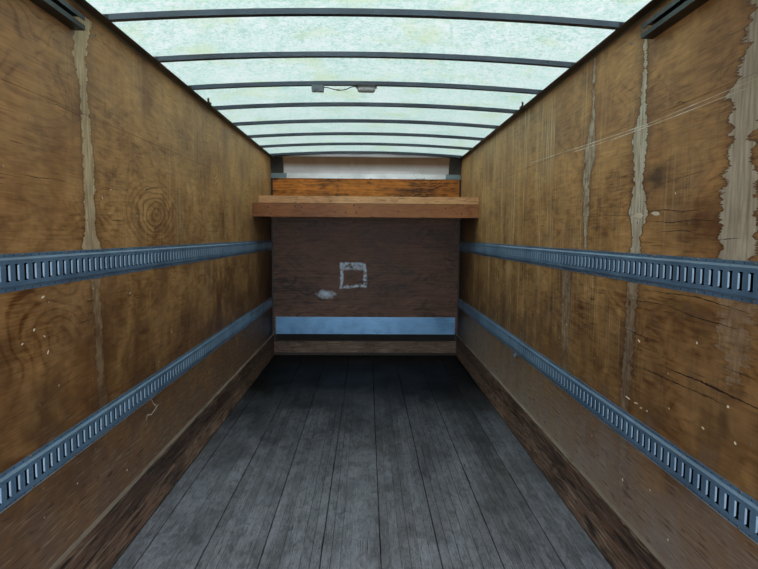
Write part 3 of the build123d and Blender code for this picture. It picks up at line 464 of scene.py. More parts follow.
def dust_and_painted_light_by_facing(finish, dust, share, low=0.5, high=0.9):
    """Lay a colour on faces that look up, or down where low and high are negative. Used for dust, and for
    painted highlight and shade.
    """
    return overlay(finish, upward_face(finish.node_tree, low, high) * share, dust)


def edge_line(finish, axis, place, half, colour, share, broken):
    """Draw a line that comes and goes where the place along an axis is near a value."""
    tree = finish.node_tree
    off = abs(places(tree)[axis] - place) + noise(tree, 0.05, detail=5.0) * (half * broken)
    overlay(finish, spot(off, half, half * 0.5) * share, colour)


# Pale upward faces of the slotted rails: dust, and a painted highlight along the top ridge.
dust_and_painted_light_by_facing(finishes["rail_steel"], rgb(150, 174, 196), 0.35, 0.25, 0.60)
dust_and_painted_light_by_facing(finishes["track_steel"], rgb(150, 156, 158), 0.35)
# Painted shade: the tracks' downward faces turn near black.
dust_and_painted_light_by_facing(finishes["track_steel"], rgb(14, 18, 20), 0.90, -0.5, -0.9)
# A pale broken line along the lower rails' bottom flange edge: dust, and a painted highlight.
edge_line(finishes["rail_steel"], 2, 0.8345, 0.0034, rgb(206, 214, 218), 0.75, 0.8)
# Painted shade: the bows' downward faces turn near black.
dust_and_painted_light_by_facing(finishes["bow_steel"], rgb(24, 30, 38), 0.85, -0.5, -0.9)

# %% [markdown]
# ## Torn veneer
# Where two sheets meet, straps and pallets have pulled the face veneer off in ragged upright strips, and
# the pale inner ply shows. The tears could be cut as separate meshes, but they are less than a
# millimetre deep. So they are painted by the finish: a strip has an outline, given as a few rows of
# height, rear edge and front edge. A colour ramp along the height carries both edges, because its red and
# green can hold them as numbers, and noises fray them along the grain. A dark line follows the edge where
# dirt has got under the veneer.

# %% Torn strips in the side linings
# One entry for each strip: share of the veneer that is gone, fray, and its outline as rows of height,
# rear edge and front edge
TORN_LEFT = (
    (1.0, 0.05, ((1.66, -1.190, -1.000), (1.76, -1.160, -1.060), (1.97, -1.150, -1.055),
                 (2.14, -1.154, -1.066), (2.34, -1.156, -1.092), (2.47, -1.205, -1.098),
                 (2.64, -1.165, -1.040))),
    (0.7, 0.05, ((0.56, -1.068, -1.058), (0.80, -1.072, -1.028), (1.00, -1.083, -1.000),
                 (1.14, -1.092, -1.025), (1.32, -1.100, -1.024), (1.50, -1.108, -1.045),
                 (1.58, -1.120, -1.000))),
    (0.5, 0.03, ((0.80, 1.262, 1.272), (1.40, 1.264, 1.284), (2.10, 1.262, 1.290), (2.60, 1.262, 1.270))),
)
TORN_RIGHT = (
    (1.0, 0.05, ((1.66, -1.185, -1.080), (1.75, -1.165, -1.090), (1.85, -1.225, -1.045),
                 (1.98, -1.168, -1.092), (2.17, -1.192, -1.050), (2.28, -1.165, -1.112),
                 (2.45, -1.160, -1.128), (2.62, -1.150, -1.106))),
    (0.8, 0.05, ((1.66, -0.562, -0.535), (1.85, -0.575, -0.500), (2.03, -0.566, -0.478),
                 (2.18, -0.635, -0.482), (2.37, -0.608, -0.562), (2.66, -0.590, -0.570))),
    (0.95, 0.10, ((1.62, -1.900, -1.760), (1.76, -1.915, -1.735), (1.90, -1.900, -1.722),
                  (1.98, -1.872, -1.755), (2.06, -1.868, -1.765), (2.20, -1.950, -1.735),
                  (2.30, -1.990, -1.810), (2.64, -2.050, -1.850))),
    (0.6, 0.06, ((0.56, -1.110, -1.075), (0.85, -1.125, -1.050), (1.10, -1.140, -1.045),
                 (1.32, -1.150, -1.066), (1.55, -1.170, -1.055))),
    (0.32, 0.14, ((1.28, -1.880, -1.820), (1.38, -1.900, -1.770), (1.56, -1.930, -1.740))),
    (0.50, 0.06, ((0.90, -0.330, -0.250), (1.20, -0.340, -0.220), (1.56, -0.340, -0.180))),
    (0.5, 0.03, ((0.80, 1.262, 1.272), (1.40, 1.262, 1.290), (2.60, 1.262, 1.274))),
)


def torn_mask(tree, strips):
    """Three masks: the veneer that is gone, that and its dirty edge, and the stain round them."""
    spots = places(tree)
    coarse = noise(tree, 0.024, "Y", 7.0, detail=5.0) - 0.5
    fine = noise(tree, 0.005, "Y", 12.0, detail=3.0) - 0.5
    ragged = coarse * 1.5 + fine * 0.7
    wear = spot(noise(tree, 0.040, detail=6.0), 0.26, 0.56)
    gone, edged, stained = 0.0, 0.0, 0.0
    for share, fray, outline in strips:
        foot, top = outline[0][0], outline[-1][0]
        base = outline[0][1] - 0.5
        stops = [((z - foot) / (top - foot), (rear - base, front - base, 0.0, 1.0))
                 for z, rear, front in outline]
        rear_edge, front_edge, _ = parts(ramp(spot(spots[2], foot, top), stops), "ShaderNodeSeparateColor")
        offset = spots[1] - base
        inside = calc("MINIMUM", offset - rear_edge, front_edge - offset)
        ends = calc("MINIMUM", spots[2] - foot, top - spots[2])
        inside = calc("MINIMUM", inside, ends) + ragged * fray
        here = spot(inside, 0.0, 0.003) * share
        if share < 0.9:
            here = here * wear
        gone = calc("MAXIMUM", gone, here)
        edged = calc("MAXIMUM", edged, spot(inside, -0.005 - 0.11 * fray, 0.0) * share)
        stained = calc("MAXIMUM", stained, spot(inside, -0.060, 0.0) * share)
    return gone, edged, stained


# %% Finish of the side linings
PLY_PALE, PLY_DARK = rgb(228, 178, 116), rgb(102, 60, 26)
RAIL_HOLLOWS = (1.6095, 0.8965)
SHELF_HEIGHT = 2.068
# One row for each stain: side, middle along Y and up Z, half sizes, colour, share
STAINS = (
    ("lining_right", -1.29, 1.985, 0.13, 0.085, rgb(52, 44, 40), 0.75),
    ("lining_right", -0.70, 0.68, 0.22, 0.15, rgb(190, 116, 52), 0.55),
    ("lining_right", -0.50, 2.56, 0.16, 0.07, rgb(60, 40, 26), 0.45),
    ("lining_right", -1.62, 1.80, 0.20, 0.13, rgb(70, 36, 24), 0.65),
    ("lining_right", -1.55, 1.46, 0.30, 0.10, rgb(74, 44, 26), 0.50),
    ("lining_left", -1.00, 1.28, 0.40, 0.16, rgb(104, 58, 26), 0.45),
    ("lining_left", -0.30, 1.86, 0.22, 0.13, rgb(96, 56, 28), 0.45),
    ("lining_right", -1.80, 1.15, 0.040, 0.110, rgb(44, 30, 24), 0.65),
    ("lining_right", -0.67, 0.68, 0.16, 0.12, rgb(96, 60, 34), 0.50),
    ("lining_left", -1.25, 2.02, 0.30, 0.12, rgb(82, 54, 30), 0.35),
)
# One row for each knot: side, middle along Y and up Z, reach
KNOTS = (("lining_left", -0.32, 1.850, 0.28), ("lining_right", -2.30, 2.32, 0.20),
         ("lining_left", 0.95, 2.22, 0.22))


def blotch(tree, spots, middle_y, middle_z, half_y, half_z):
    """1 in the middle of an oval on a side wall, falling to 0 at its ragged edge."""
    across = (spots[1] - middle_y) / half_y
    up = (spots[2] - middle_z) / half_z
    far = abs(across) ** 2.0 + abs(up) ** 2.0
    return spot(far + noise(tree, 0.05, "Y", 2.0, detail=6.0) * 1.6, 1.6, 0.7)


def side_plywood(name, strips, inner_dark, inner_pale, streaks, dirt_share, dust, dust_share, rim_colour,
                 rim_share):
    """Plywood of one side lining, with its torn strips, upright streaks, checks, floor dust, and painted
    shade under the shelf and behind the rails.
    """
    finish, tree = new_finish(name)
    colour, tone = wood_look(tree, "Y", 0.34, 20.0, PLY_PALE, PLY_DARK, 0.0060, 0.58, 0.65, 0.22)
    spots = places(tree)
    gone, edged, stained = torn_mask(tree, strips)
    for side, middle_y, middle_z, reach in KNOTS:
        if side == name:
            along = (spots[1] - middle_y) / 2.2
            up = spots[2] - middle_z
            away = calc("SQRT", along * along + up * up)
            away = away + noise(tree, 0.08, "Y", 2.0, detail=3.0) * 0.06
            rings = spot(calc("SINE", away * (math.tau / 0.029)), 0.1, 0.9)
            rings = rings * spot(away, reach, reach * 0.5)
            colour = mixed(rings * 0.50, colour, rgb(88, 52, 26))
    for side, middle_y, middle_z, half_y, half_z, tint, share in STAINS:
        if side == name:
            mask = blotch(tree, spots, middle_y, middle_z, half_y, half_z)
            colour = mixed(mask * share, colour, tint)
    grey = spot(noise(tree, 0.45, detail=5.0, twist=0.5), 0.46, 0.72)
    colour = mixed(grey * 0.38, colour, rgb(152, 126, 98))
    bleached = spot(spots[1], -0.8, 1.8) * spot(spots[2], 1.70, 2.15)
    colour = mixed(bleached * 0.20, colour, rgb(240, 202, 140))
    ruddy = spot(noise(tree, 0.28, "Z", 1.5, detail=5.0), 0.50, 0.75)
    colour = mixed(ruddy * 0.45, colour, rgb(120, 68, 36))
    checks = (spot(noise(tree, 0.007, "Y", 30.0, detail=3.0, twist=0.2), 0.63, 0.68)
              * spot(noise(tree, 0.35, detail=2.0), 0.44, 0.58))
    colour = mixed(checks * 0.55, colour, rgb(52, 32, 18))
    runs = (spot(noise(tree, 0.014, "Z", 45.0, detail=5.0), 0.48, 0.64)
            * spot(noise(tree, 0.11, "Z", 9.0, detail=4.0), 0.42, 0.60))
    far = spot(spots[1] + grey * 1.2, -1.3, 1.0)
    colour = mixed(runs * far * streaks, colour, rgb(226, 196, 146))
    drips = spot(noise(tree, 0.020, "Z", 25.0, detail=5.0), 0.57, 0.70)
    colour = mixed(drips * (0.18 * streaks), colour, rgb(78, 50, 32))
    colour = mixed(stained * (0.50 * rim_share), colour, rgb(92, 50, 32))
    rim = calc("SUBTRACT", edged, gone, clamp=True)
    colour = mixed(rim * rim_share, colour, rim_colour)
    inner = ramp(noise(tree, 0.014, "Z", 9.0, detail=5.0), ((0.30, inner_dark), (0.62, inner_pale)))
    ticks = spot(noise(tree, 0.004, "Y", 14.0, detail=3.0), 0.58, 0.72)
    inner = mixed(ticks * 0.30, inner, inner_dark)
    colour = mixed(gone, colour, inner)
    soft = spot(noise(tree, 0.16, detail=6.0, twist=0.6), 0.35, 0.70)
    dirt = spot(spots[2], 2.00, 0.90) + soft * 0.5
    colour = mixed(spot(dirt, 0.25, 1.3) * dirt_share, colour, rgb(66, 38, 14))
    settled = spot(spots[2], 1.05, 0.45) + soft * 0.4
    colour = mixed(spot(settled, 0.3, 1.2) * dust_share, colour, dust)
    foot = spot(spots[2], 1.20, 0.62)
    scuffs = spot(noise(tree, 0.006, "Y", 20.0, detail=5.0), 0.55, 0.68) * foot
    colour = mixed(scuffs * 0.38, colour, rgb(196, 178, 158))
    gouges = spot(noise(tree, 0.010, "Y", 12.0, detail=6.0, twist=0.5), 0.58, 0.67) * foot
    colour = mixed(gouges * 0.70, colour, rgb(46, 30, 22))
    # Painted shade: darker near the front wall below the shelf, and near black just under the shelf.
    under = spot(spots[1], 2.7, 3.6) * spot(spots[2], SHELF_HEIGHT, 1.80)
    colour = mixed(under * 0.85, colour, rgb(34, 22, 16))
    shade = spot(spots[1], 2.40, 2.75) * spot(spots[2], 1.72, 2.02)
    shade = shade * spot(spots[2], SHELF_HEIGHT + 0.004, SHELF_HEIGHT)
    colour = mixed(shade * 0.85, colour, rgb(20, 12, 10))
    # Painted shade: near black in the hollows behind the slotted rails.
    for hollow in RAIL_HOLLOWS:
        off = abs(spots[2] - hollow)
        colour = mixed(spot(off, 0.050, 0.046), colour, rgb(22, 20, 20))
    height = tone - (gone * 1.2 + checks)
    rough = calc("ADD", tone * 0.25 + gone * 0.3, 0.40, clamp=True)
    close_finish(finish, colour, rough, height, 0.0004, Specular_IOR_Level=0.22)
    return finish


# One row for each side: name, torn strips, dark and pale inner ply, shares of streaks and of dirt, dust and
# its share, edge of the strips and its share
SIDES = (
    ("lining_left", TORN_LEFT, rgb(168, 146, 114), rgb(214, 192, 156), 0.35, 0.84, rgb(134, 112, 98), 0.60,
     rgb(98, 62, 36), 0.55),
    ("lining_right", TORN_RIGHT, rgb(164, 150, 128), rgb(212, 202, 182), 1.0, 0.70, rgb(160, 148, 142),
     0.80, rgb(66, 38, 24), 0.85),
)
for row in SIDES:
    finishes[row[0]] = side_plywood(*row)
print("torn strips", len(TORN_LEFT), "left and", len(TORN_RIGHT), "right,", len(STAINS), "stains,",
      len(KNOTS), "knots")

# %% [markdown]
# ## Boards
# The kick boards, the shelf boards and the board at the front wall are softwood, darker and more bruised
# the nearer they lie to the floor. Bruises and gouges follow the grain, because a fork or a pallet edge
# tears along it. Dust lies on what faces up, and the direction a face looks tells the finish which part
# that is.

# %% Finishes of boards
def board_finish(name, along, pale, dark, scuff, scuff_share, bump_depth, grain):
    """Boards with bruises, pale scuffs and gouges along the grain."""
    finish, tree = new_finish(name)
    colour, tone = wood_look(tree, along, 0.10, 4.0, pale, dark, grain)
    worn = spot(noise(tree, 0.010, along, 18.0, detail=5.0), 0.52, 0.68)
    patchy = spot(noise(tree, 0.30, along, 1.6, detail=5.0, twist=0.6), 0.40, 0.62)
    colour = mixed(worn * patchy * scuff_share, colour, scuff)
    gouge = spot(noise(tree, 0.012, along, 9.0, detail=3.0, twist=0.5), 0.65, 0.69)
    colour = mixed(gouge * 0.75, colour, rgb(30, 24, 20))
    rough = calc("ADD", tone * 0.30, 0.32, clamp=True)
    height = tone + worn - gouge * 2.0
    close_finish(finish, colour, rough, height, bump_depth, Specular_IOR_Level=0.25)
    return finish


# One row for each finish: name, grain, pale, dark, scuffs, share of scuffs, bump depth, width of the fibres,
# dust, share of dust
BOARDS = (
    ("kick_wood", "Y", rgb(134, 102, 84), rgb(36, 24, 20), rgb(170, 152, 134), 0.85, 0.0018, 0.0080,
     rgb(146, 138, 128), 0.85),
    ("shelf_wood", "X", rgb(238, 186, 132), rgb(156, 108, 70), rgb(226, 198, 162), 0.35, 0.0006, 0.0040,
     rgb(196, 176, 150), 0.5),
    ("front_board", "X", rgb(122, 104, 92), rgb(60, 46, 40), rgb(160, 148, 134), 0.60, 0.0012, 0.0060,
     rgb(120, 110, 98), 0.5),
    ("joist_wood", "Y", rgb(150, 116, 82), rgb(84, 60, 42), rgb(170, 144, 110), 0.30, 0.0010, 0.0030,
     rgb(150, 136, 116), 0.6),
)
for *row, dust, dust_share in BOARDS:
    finishes[row[0]] = dust_and_painted_light_by_facing(board_finish(*row), dust, dust_share)
print("board finishes", [row[0] for row in BOARDS])

# %% Streaks of the kick boards, tints and lines that tell stacked boards apart, and painted shade and reflection
def streaked(finish, size, along, drawn_out, low, high, share, colour):
    """Lay long thin streaks of a colour over a finish."""
    overlay(finish, spot(noise(finish.node_tree, size, along, drawn_out, detail=5.0), low, high) * share,
            colour)


def tinted(finish, axis, start, end, tint, blend="MULTIPLY"):
    """Tint a finish where the place along an axis is beyond the end, fading in from the start."""
    return overlay(finish, spot(places(finish.node_tree)[axis], start, end), tint, blend)


FLOOR_HEIGHT, KICK_JOINT_HEIGHT, KICK_TOP = 0.211, 0.3425, 0.485
kick_wood, shelf_wood = finishes["kick_wood"], finishes["shelf_wood"]
tinted(kick_wood, 2, KICK_JOINT_HEIGHT + 0.001, KICK_JOINT_HEIGHT - 0.001, (1.75, 1.85, 1.85, 1.0))
streaked(kick_wood, 0.016, "Y", 14.0, 0.53, 0.62, 0.80, rgb(20, 14, 12))
streaked(kick_wood, 0.008, "Y", 20.0, 0.58, 0.66, 0.55, rgb(150, 134, 120))
edge_line(kick_wood, 2, KICK_JOINT_HEIGHT - 0.005, 0.006, rgb(170, 152, 134), 0.75, 1.4)
edge_line(kick_wood, 2, KICK_JOINT_HEIGHT + 0.004, 0.006, rgb(16, 11, 10), 0.85, 1.0)
# Painted shade: a near black band at the foot of the kick boards, where they meet the floor.
edge_line(kick_wood, 2, FLOOR_HEIGHT, 0.019, rgb(10, 8, 8), 0.92, 0.7)
edge_line(kick_wood, 2, KICK_TOP, 0.006, rgb(150, 138, 124), 0.65, 1.2)
tinted(shelf_wood, 2, SHELF_HEIGHT + 0.001, SHELF_HEIGHT - 0.001, (0.49, 0.35, 0.27, 1.0))
# Painted shadow: a dark line under the top shelf board.
edge_line(shelf_wood, 2, SHELF_HEIGHT, 0.005, rgb(28, 18, 14), 0.90, 0.5)
# Painted reflection: the cove panel's upper part is tinted peach-brown for the plywood mirrored in its gloss.
tinted(finishes["cove_paint"], 2, 2.560, 2.620, (0.44, 0.29, 0.18, 1.0))
# Painted shade: the bows turn darker towards the front, away from the doorway.
tinted(finishes["bow_steel"], 1, -2.0, 0.8, (0.40, 0.44, 0.46, 1.0))
# Painted shade: the front lips turn darker towards the front, away from the doorway.
tinted(finishes["rubbed_steel_painted_highlight"], 1, -1.4, 2.6, (0.34, 0.36, 0.38, 1.0))

# %% [markdown]
# ## The floor
# The floor is nine wide boards, each glued up from narrow lengths of hardwood. It runs from pale near the
# doorway to near black at the front: boots and pallet trucks have worn it and dirt has stayed at the front,
# and the dark end is also painted shade. Three things tell the boards apart: a dark line at each seam, hair
# lines between the narrow lengths, and a tone of their own from a white noise of the length's number. All
# follow from the place across the floor.

# %% Floor finish: seams, lengths and their tones
SEAM_PLACE, SEAM_PITCH, LENGTH_PITCH = 0.083, 0.285, 0.0475
floor_finish, tree = new_finish("floor_wood")
colour, tone = wood_look(tree, "Y", 0.10, 3.0, rgb(206, 214, 231), rgb(118, 124, 134), 0.0026, 0.25)
spots = places(tree)


def line_distance(value, start, pitch):
    """Distance to the nearest of evenly spaced lines, and the number of the gap between them."""
    steps = (value - start) / pitch
    share = calc("FRACT", steps)
    near = calc("MINIMUM", share, 1.0 - share)
    return near * pitch, calc("FLOOR", steps)


def own_tone(number):
    """A random tone for each whole number."""
    made = node(number.tree, "ShaderNodeTexWhiteNoise", {"W": number}, noise_dimensions="1D")
    return Value(made.outputs["Value"])


seam_off, board_number = line_distance(spots[0], SEAM_PLACE, SEAM_PITCH)
length_off, length_number = line_distance(spots[0], SEAM_PLACE, LENGTH_PITCH)
length_tone = own_tone(length_number)
darker = length_tone * 0.26 + own_tone(board_number) * 0.16
colour = mixed(darker, colour, rgb(52, 52, 54))
hair = spot(length_off, 0.0026, 0.0006) * spot(length_tone, 0.15, 0.55)
colour = mixed(hair * 0.85, colour, rgb(22, 22, 24))
wander = noise(tree, 0.10, flat="XZ") * 0.0030
seam = spot(seam_off - wander, 0.0024, 0.0004)
open_part = spot(noise(tree, 0.22, detail=4.0, flat="Z"), 0.36, 0.60)
seam_share = open_part * 0.55 + 0.35
colour = mixed(seam * seam_share, colour, rgb(12, 12, 13))
print("floor boards", SEAM_PITCH, "m wide, made of lengths of", LENGTH_PITCH, "m")

# %% Floor finish: stains, drag marks, and the dirt and painted shade at the front
stain = spot(noise(tree, 0.26, "Y", 2.2, detail=8.0, twist=0.8), 0.44, 0.70)
colour = mixed(stain * 0.28, colour, rgb(50, 50, 49))
# One row for each kind of mark: size, along, drawn out, detail, twist, where it starts and where it is full,
# share, colour
FLOOR_MARKS = (
    (0.040, "Y", 2.5, 8.0, 1.0, 0.44, 0.68, 0.42, rgb(42, 44, 46)),
    (0.0050, "Y", 4.0, 4.0, 0.0, 0.52, 0.68, 0.35, rgb(28, 29, 30)),
    (0.60, None, 1.0, 5.0, 0.0, 0.50, 0.74, 0.35, rgb(96, 88, 76)),
    (0.0035, "Y", 60.0, 3.0, 0.0, 0.60, 0.72, 0.60, rgb(190, 196, 202)),
    (0.0050, "Y", 40.0, 3.0, 0.0, 0.62, 0.70, 0.75, rgb(30, 29, 30)),
)
for size, along, drawn_out, detail, twist, low, high, share, tint in FLOOR_MARKS:
    mark = spot(noise(tree, size, along, drawn_out, detail, twist), low, high)
    colour = mixed(mark * share, colour, tint)
# Towards the front the floor turns near black: dirt that has stayed there, and painted shade.
front_dirt_and_shade = spot(spots[1], -1.9, 2.4) + stain * 0.12
colour = mixed(spot(front_dirt_and_shade, 0.05, 0.98) * 0.985, colour, rgb(5, 7, 8))
height = tone - seam * 3.0
rough = calc("ADD", tone * 0.30, 0.38, clamp=True)
close_finish(floor_finish, colour, rough, height, 0.0008, Specular_IOR_Level=0.12)
finishes["floor_wood"] = floor_finish
print("floor finish with", len(tree.nodes), "nodes")

# %% [markdown]
# ## The front wall
# The same plywood closes the front end, with its grain across the body. It sees less daylight, and the
# lower part is painted a dull grey-brown as shade; above the shelf the colour is multiplied to a brighter
# orange, painted light where the roof light reaches past the shelf. Pale rub marks of a crate stay on it:
# a broken square outline and a smear. Each is a distance worked out from the place on the wall, kept where
# it is small, and broken up by a noise.

# %% Plywood of the front wall and the shelf deck
def plain_plywood(name, along, pale, dark):
    """Plywood without tears."""
    finish, tree = new_finish(name)
    colour, tone = wood_look(tree, along, 0.30, 15.0, pale, dark, 0.0170, 1.1, 0.9)
    bruise = spot(noise(tree, 0.30, detail=6.0, twist=0.8), 0.48, 0.70)
    colour = mixed(bruise * 0.40, colour, rgb(92, 68, 52))
    rough = calc("ADD", tone * 0.25, 0.40, clamp=True)
    close_finish(finish, colour, rough, tone, 0.0005, Specular_IOR_Level=0.25)
    return finish


RUB_COLOUR = rgb(208, 232, 255)


def rub_mark(finish, middle, half, line, share):
    """Rub a pale broken outline on the front wall: the middle and half sizes of an oblong, and a width."""
    tree = finish.node_tree
    spots = places(tree)
    sway = (noise(tree, 0.12, detail=3.0) - 0.5) * 0.06
    across = abs(spots[0] - middle[0]) - half[0]
    upward = abs(spots[2] - middle[1]) - half[1]
    off = abs(calc("MAXIMUM", across, upward) + sway)
    broken = spot(noise(tree, 0.034, detail=6.0), 0.36, 0.50)
    overlay(finish, spot(off, line, line * 0.3) * broken * share, RUB_COLOUR)


def smear(finish, middle, half, share):
    """Rub a pale patch with a ragged edge on the front wall: an oval's middle and half sizes."""
    x, y, z = places(finish.node_tree)
    overlay(finish, blotch(finish.node_tree, (y, x, z), *middle, *half) * share, RUB_COLOUR)


front_wall = plain_plywood("front_plywood", "X", rgb(136, 104, 90), rgb(36, 24, 22))
# Painted light: above the shelf the front wall's colour is multiplied brighter and more orange.
finishes["front_plywood"] = tinted(front_wall, 2, SHELF_HEIGHT - 0.01, SHELF_HEIGHT, (3.5, 2.15, 0.48, 1.0))
finishes["deck_plywood"] = plain_plywood("deck_plywood", "Y", rgb(176, 136, 92), rgb(100, 72, 46))
rub_mark(front_wall, (-0.157, 1.238), (0.148, 0.142), 0.024, 1.0)
rub_mark(front_wall, (-0.157, 1.335), (0.125, 0.010), 0.034, 0.80)
smear(front_wall, (-0.510, 0.992), (0.150, 0.072), 1.0)
print("front wall finish with", len(front_wall.node_tree.nodes), "nodes")

# %% [markdown]
# ## The roof sheet
# The roof is a fibreglass sheet that lets daylight through. Seen from below it is a pale mint with a
# fine mottle of chopped strands. A glowing sheet would look right only in this light, so the finish lets
# light pass instead: a rough transmission spreads the sky behind it, and two noises thin and thicken it.
# Years of sun have turned its upper face chalky, so there a share of the light is scattered back.

# %% Roof sheet finish
roof_finish, tree = new_finish("roof_fibreglass")
strands = noise(tree, 0.022, detail=6.0, twist=1.5)
roof_mix = strands * 0.85 + noise(tree, 0.30, detail=3.0) * 0.15
MINT, PALE_MINT, NEAR_WHITE = rgb(198, 230, 220), rgb(234, 254, 250), rgb(252, 255, 255)
colour = ramp(roof_mix, ((0.42, MINT), (0.50, PALE_MINT), (0.58, NEAR_WHITE)))
stained = spot(noise(tree, 0.24, detail=6.0, twist=0.4), 0.54, 0.74)
colour = mixed(stained * 0.55, colour, rgb(222, 238, 196))
close_finish(roof_finish, colour, spot(strands, -0.4, 1.2), strands, 0.0002, IOR=1.10)
chalky = upward_face(tree, 0.1, 0.3) * (roof_mix * 0.5 + 0.30)
feed(tree.nodes["Principled BSDF"].inputs["Transmission Weight"], calc("SUBTRACT", 1.0, chalky, clamp=True))
finishes["roof_fibreglass"] = roof_finish
print("roof finish with", len(tree.nodes), "nodes")

# %% [markdown]
# ## Lamp lenses
# The outside lamps have red plastic lenses, amber at the front end, and the inside lamp has a milky one.
# All let some light into the plastic, which is what tells a lens from paint. A fine ribbing in the bump
# stands for the prisms that are moulded inside the lens.

# %% Lens finishes
def lens_finish(name, colour_low, colour_high, through, rough):
    """Moulded lens plastic with ribs inside."""
    finish, tree = new_finish(name)
    spots = places(tree)
    ribs = calc("SINE", spots[0] * (math.tau / 0.006))
    cloud = noise(tree, 0.05, detail=4.0)
    colour = ramp(cloud, ((0.3, colour_low), (0.7, colour_high)))
    dusty = spot(noise(tree, 0.015, detail=4.0), 0.52, 0.75)
    colour = mixed(dusty * 0.25, colour, rgb(150, 140, 126))
    close_finish(finish, colour, spot(cloud, 0.0, 1.0 / max(rough, 0.05)), ribs, 0.0003,
                 Transmission_Weight=through, IOR=1.49)
    return finish


LENS_RED = (rgb(150, 14, 14), rgb(190, 26, 20), 0.25, 0.4)
finishes["red_lens"] = lens_finish("red_lens", *LENS_RED)
finishes["marker_lens"] = tinted(lens_finish("marker_lens", *LENS_RED), 1, 0.0, 0.1, rgb(224, 122, 16), "MIX")
finishes["milky_lens"] = lens_finish("milky_lens", rgb(196, 204, 206), rgb(222, 228, 228), 0.45, 0.5)

# %% [markdown]
# ## Giving the solids their finishes
# Every solid piece keeps its shape and only changes its finish. The outer sheets are painted white, with a
# line where two sheets meet and dirt that runs down from the rivets. The roof rail is one piece of metal that
# is bright outside and nearly black inside, so its finish turns dark where the place across the body is
# inside the lining: years of dust, and painted shade for the ledge that faces down into its own shade. The
# front sheets' inner face is painted near black too, as shade in the gap behind the front boards.

# %% Finishes that turn dark on the inside, and the table of finishes
def darker_inside(finish, axis, inner, outer, colour):
    """Turn a finish to another colour where the place along an axis is nearer the middle than a limit."""
    return overlay(finish, spot(abs(places(finish.node_tree)[axis]), outer, inner), colour)


def skin_finish(name, axis, joint_start, joint_pitch):
    """White painted skin with a line at each sheet joint, upright runs of dirt and road grime at its foot."""
    finish, tree = new_finish(name)
    spots = places(tree)
    cloud = noise(tree, 0.8, detail=5.0)
    colour = ramp(cloud, ((0.3, rgb(216, 218, 216)), (0.7, rgb(225, 227, 226))))
    runs = (spot(noise(tree, 0.020, "Z", 40.0, detail=5.0), 0.54, 0.74)
            * spot(spots[2] + cloud * 1.5, 2.0, 3.4))
    colour = mixed(runs * 0.50, colour, rgb(160, 156, 146))
    splash = spots[2] + noise(tree, 0.10, detail=8.0) * 0.9
    colour = mixed(spot(splash, 1.15, 0.60) * 0.40, colour, rgb(150, 142, 126))
    joint_off = line_distance(spots[axis], joint_start, joint_pitch)[0]
    colour = mixed(spot(joint_off, 0.0035, 0.0015) * 0.80, colour, rgb(70, 70, 68))
    halo = spot(joint_off, 0.040, 0.010) * spot(noise(tree, 0.03, "Z", 6.0), 0.45, 0.70)
    colour = mixed(halo * 0.30, colour, rgb(150, 146, 136))
    wavy = noise(tree, 0.5, detail=1.0)
    close_finish(finish, colour, spot(cloud, -1.0, 1.6), wavy, 0.004)
    return finish


PANEL_REAR, PANEL_FRONT, PANEL_COUNT = -3.6022, 3.6382, 6
panel_pitch = (PANEL_FRONT - PANEL_REAR) / PANEL_COUNT
finishes["white_skin"] = skin_finish("white_skin", 1, PANEL_REAR, panel_pitch)
# The front sheets' inner face is painted near black: painted shade in the gap behind the front boards.
finishes["front_skin"] = darker_inside(skin_finish("front_skin", 0, 0.0, 3.0), 1, 3.6720, 3.6730,
                                       rgb(18, 17, 18))
LIP_HALF, LIP_SHADE = 0.985, (0.28, 0.40, 0.44, 1.0)
for side in (1, -1):
    tinted(finishes["lip_aluminium"], 0, side * LIP_HALF, side * (LIP_HALF + 0.001), LIP_SHADE)
RAIL_PALE, RAIL_DULL = rgb(186, 188, 190), rgb(174, 177, 180)
# The roof rail: near black inside the lining for dust and painted shade, with a pale dusty line at the outer
# edge of its ledge.
rail_finish = worn_finish("roof_rail", RAIL_PALE, RAIL_DULL, "Y", 0.40, 0.6, 0.2, 0.3, GRIME, 0.0001)
dusty_line = spot(abs(places(rail_finish.node_tree)[0]), 1.1715, 1.1745)
inner_colour = mixed(dusty_line, rgb(40, 40, 40), rgb(150, 142, 118))
finishes["roof_rail"] = darker_inside(rail_finish, 0, 1.1850, 1.1868, inner_colour)

# The solid pieces of each finish
FINISH_NODES = {
    "aluminium": "bottom_rail_left bottom_rail_right front_corner_posts front_corner_caps",
    "white_skin": "side_panels_left side_panels_right",
    "lining_left": "side_lining_left",
    "lining_right": "side_lining_right",
    "kick_wood": "kick_boards_left kick_boards_right",
    "roof_rail": "top_rail_left top_rail_right",
    "rail_steel": "logistic_rail_upper_left logistic_rail_upper_right logistic_rail_lower_left "
                  "logistic_rail_lower_right",
    "frame_steel": "long_sills crossmembers spring_shaft",
    "floor_wood": "floor_boards",
    "bow_steel": "roof_bows",
    "roof_fibreglass": "roof_sheet",
    "front_skin": "front_panels",
    "front_aluminium": "front_bottom_rail front_top_rail",
    "front_plywood": "front_lining",
    "scuff_band": "front_scuff_band",
    "front_board": "front_kick_board",
    "dark_trim": "front_corner_angles",
    "lip_aluminium": "front_lip",
    "cove_paint": "front_cove_panel",
    "gusset_steel": "front_corner_gussets",
    "deck_plywood": "shelf_deck",
    "shelf_wood": "shelf_front_boards",
    "joist_wood": "shelf_joists",
    "galvanised": "rear_posts rear_header rear_threshold door_hinges",
    "red_lens": "rear_lamps",
    "marker_lens": "marker_lamps",
    "track_steel": "door_tracks",
    "door_paint": "door_sections",
    "roller_plastic": "door_rollers",
    "milky_lens": "dome_lamp",
    "box_plastic": "lamp_switch",
    "wire_sheath": "lamp_wire",
}
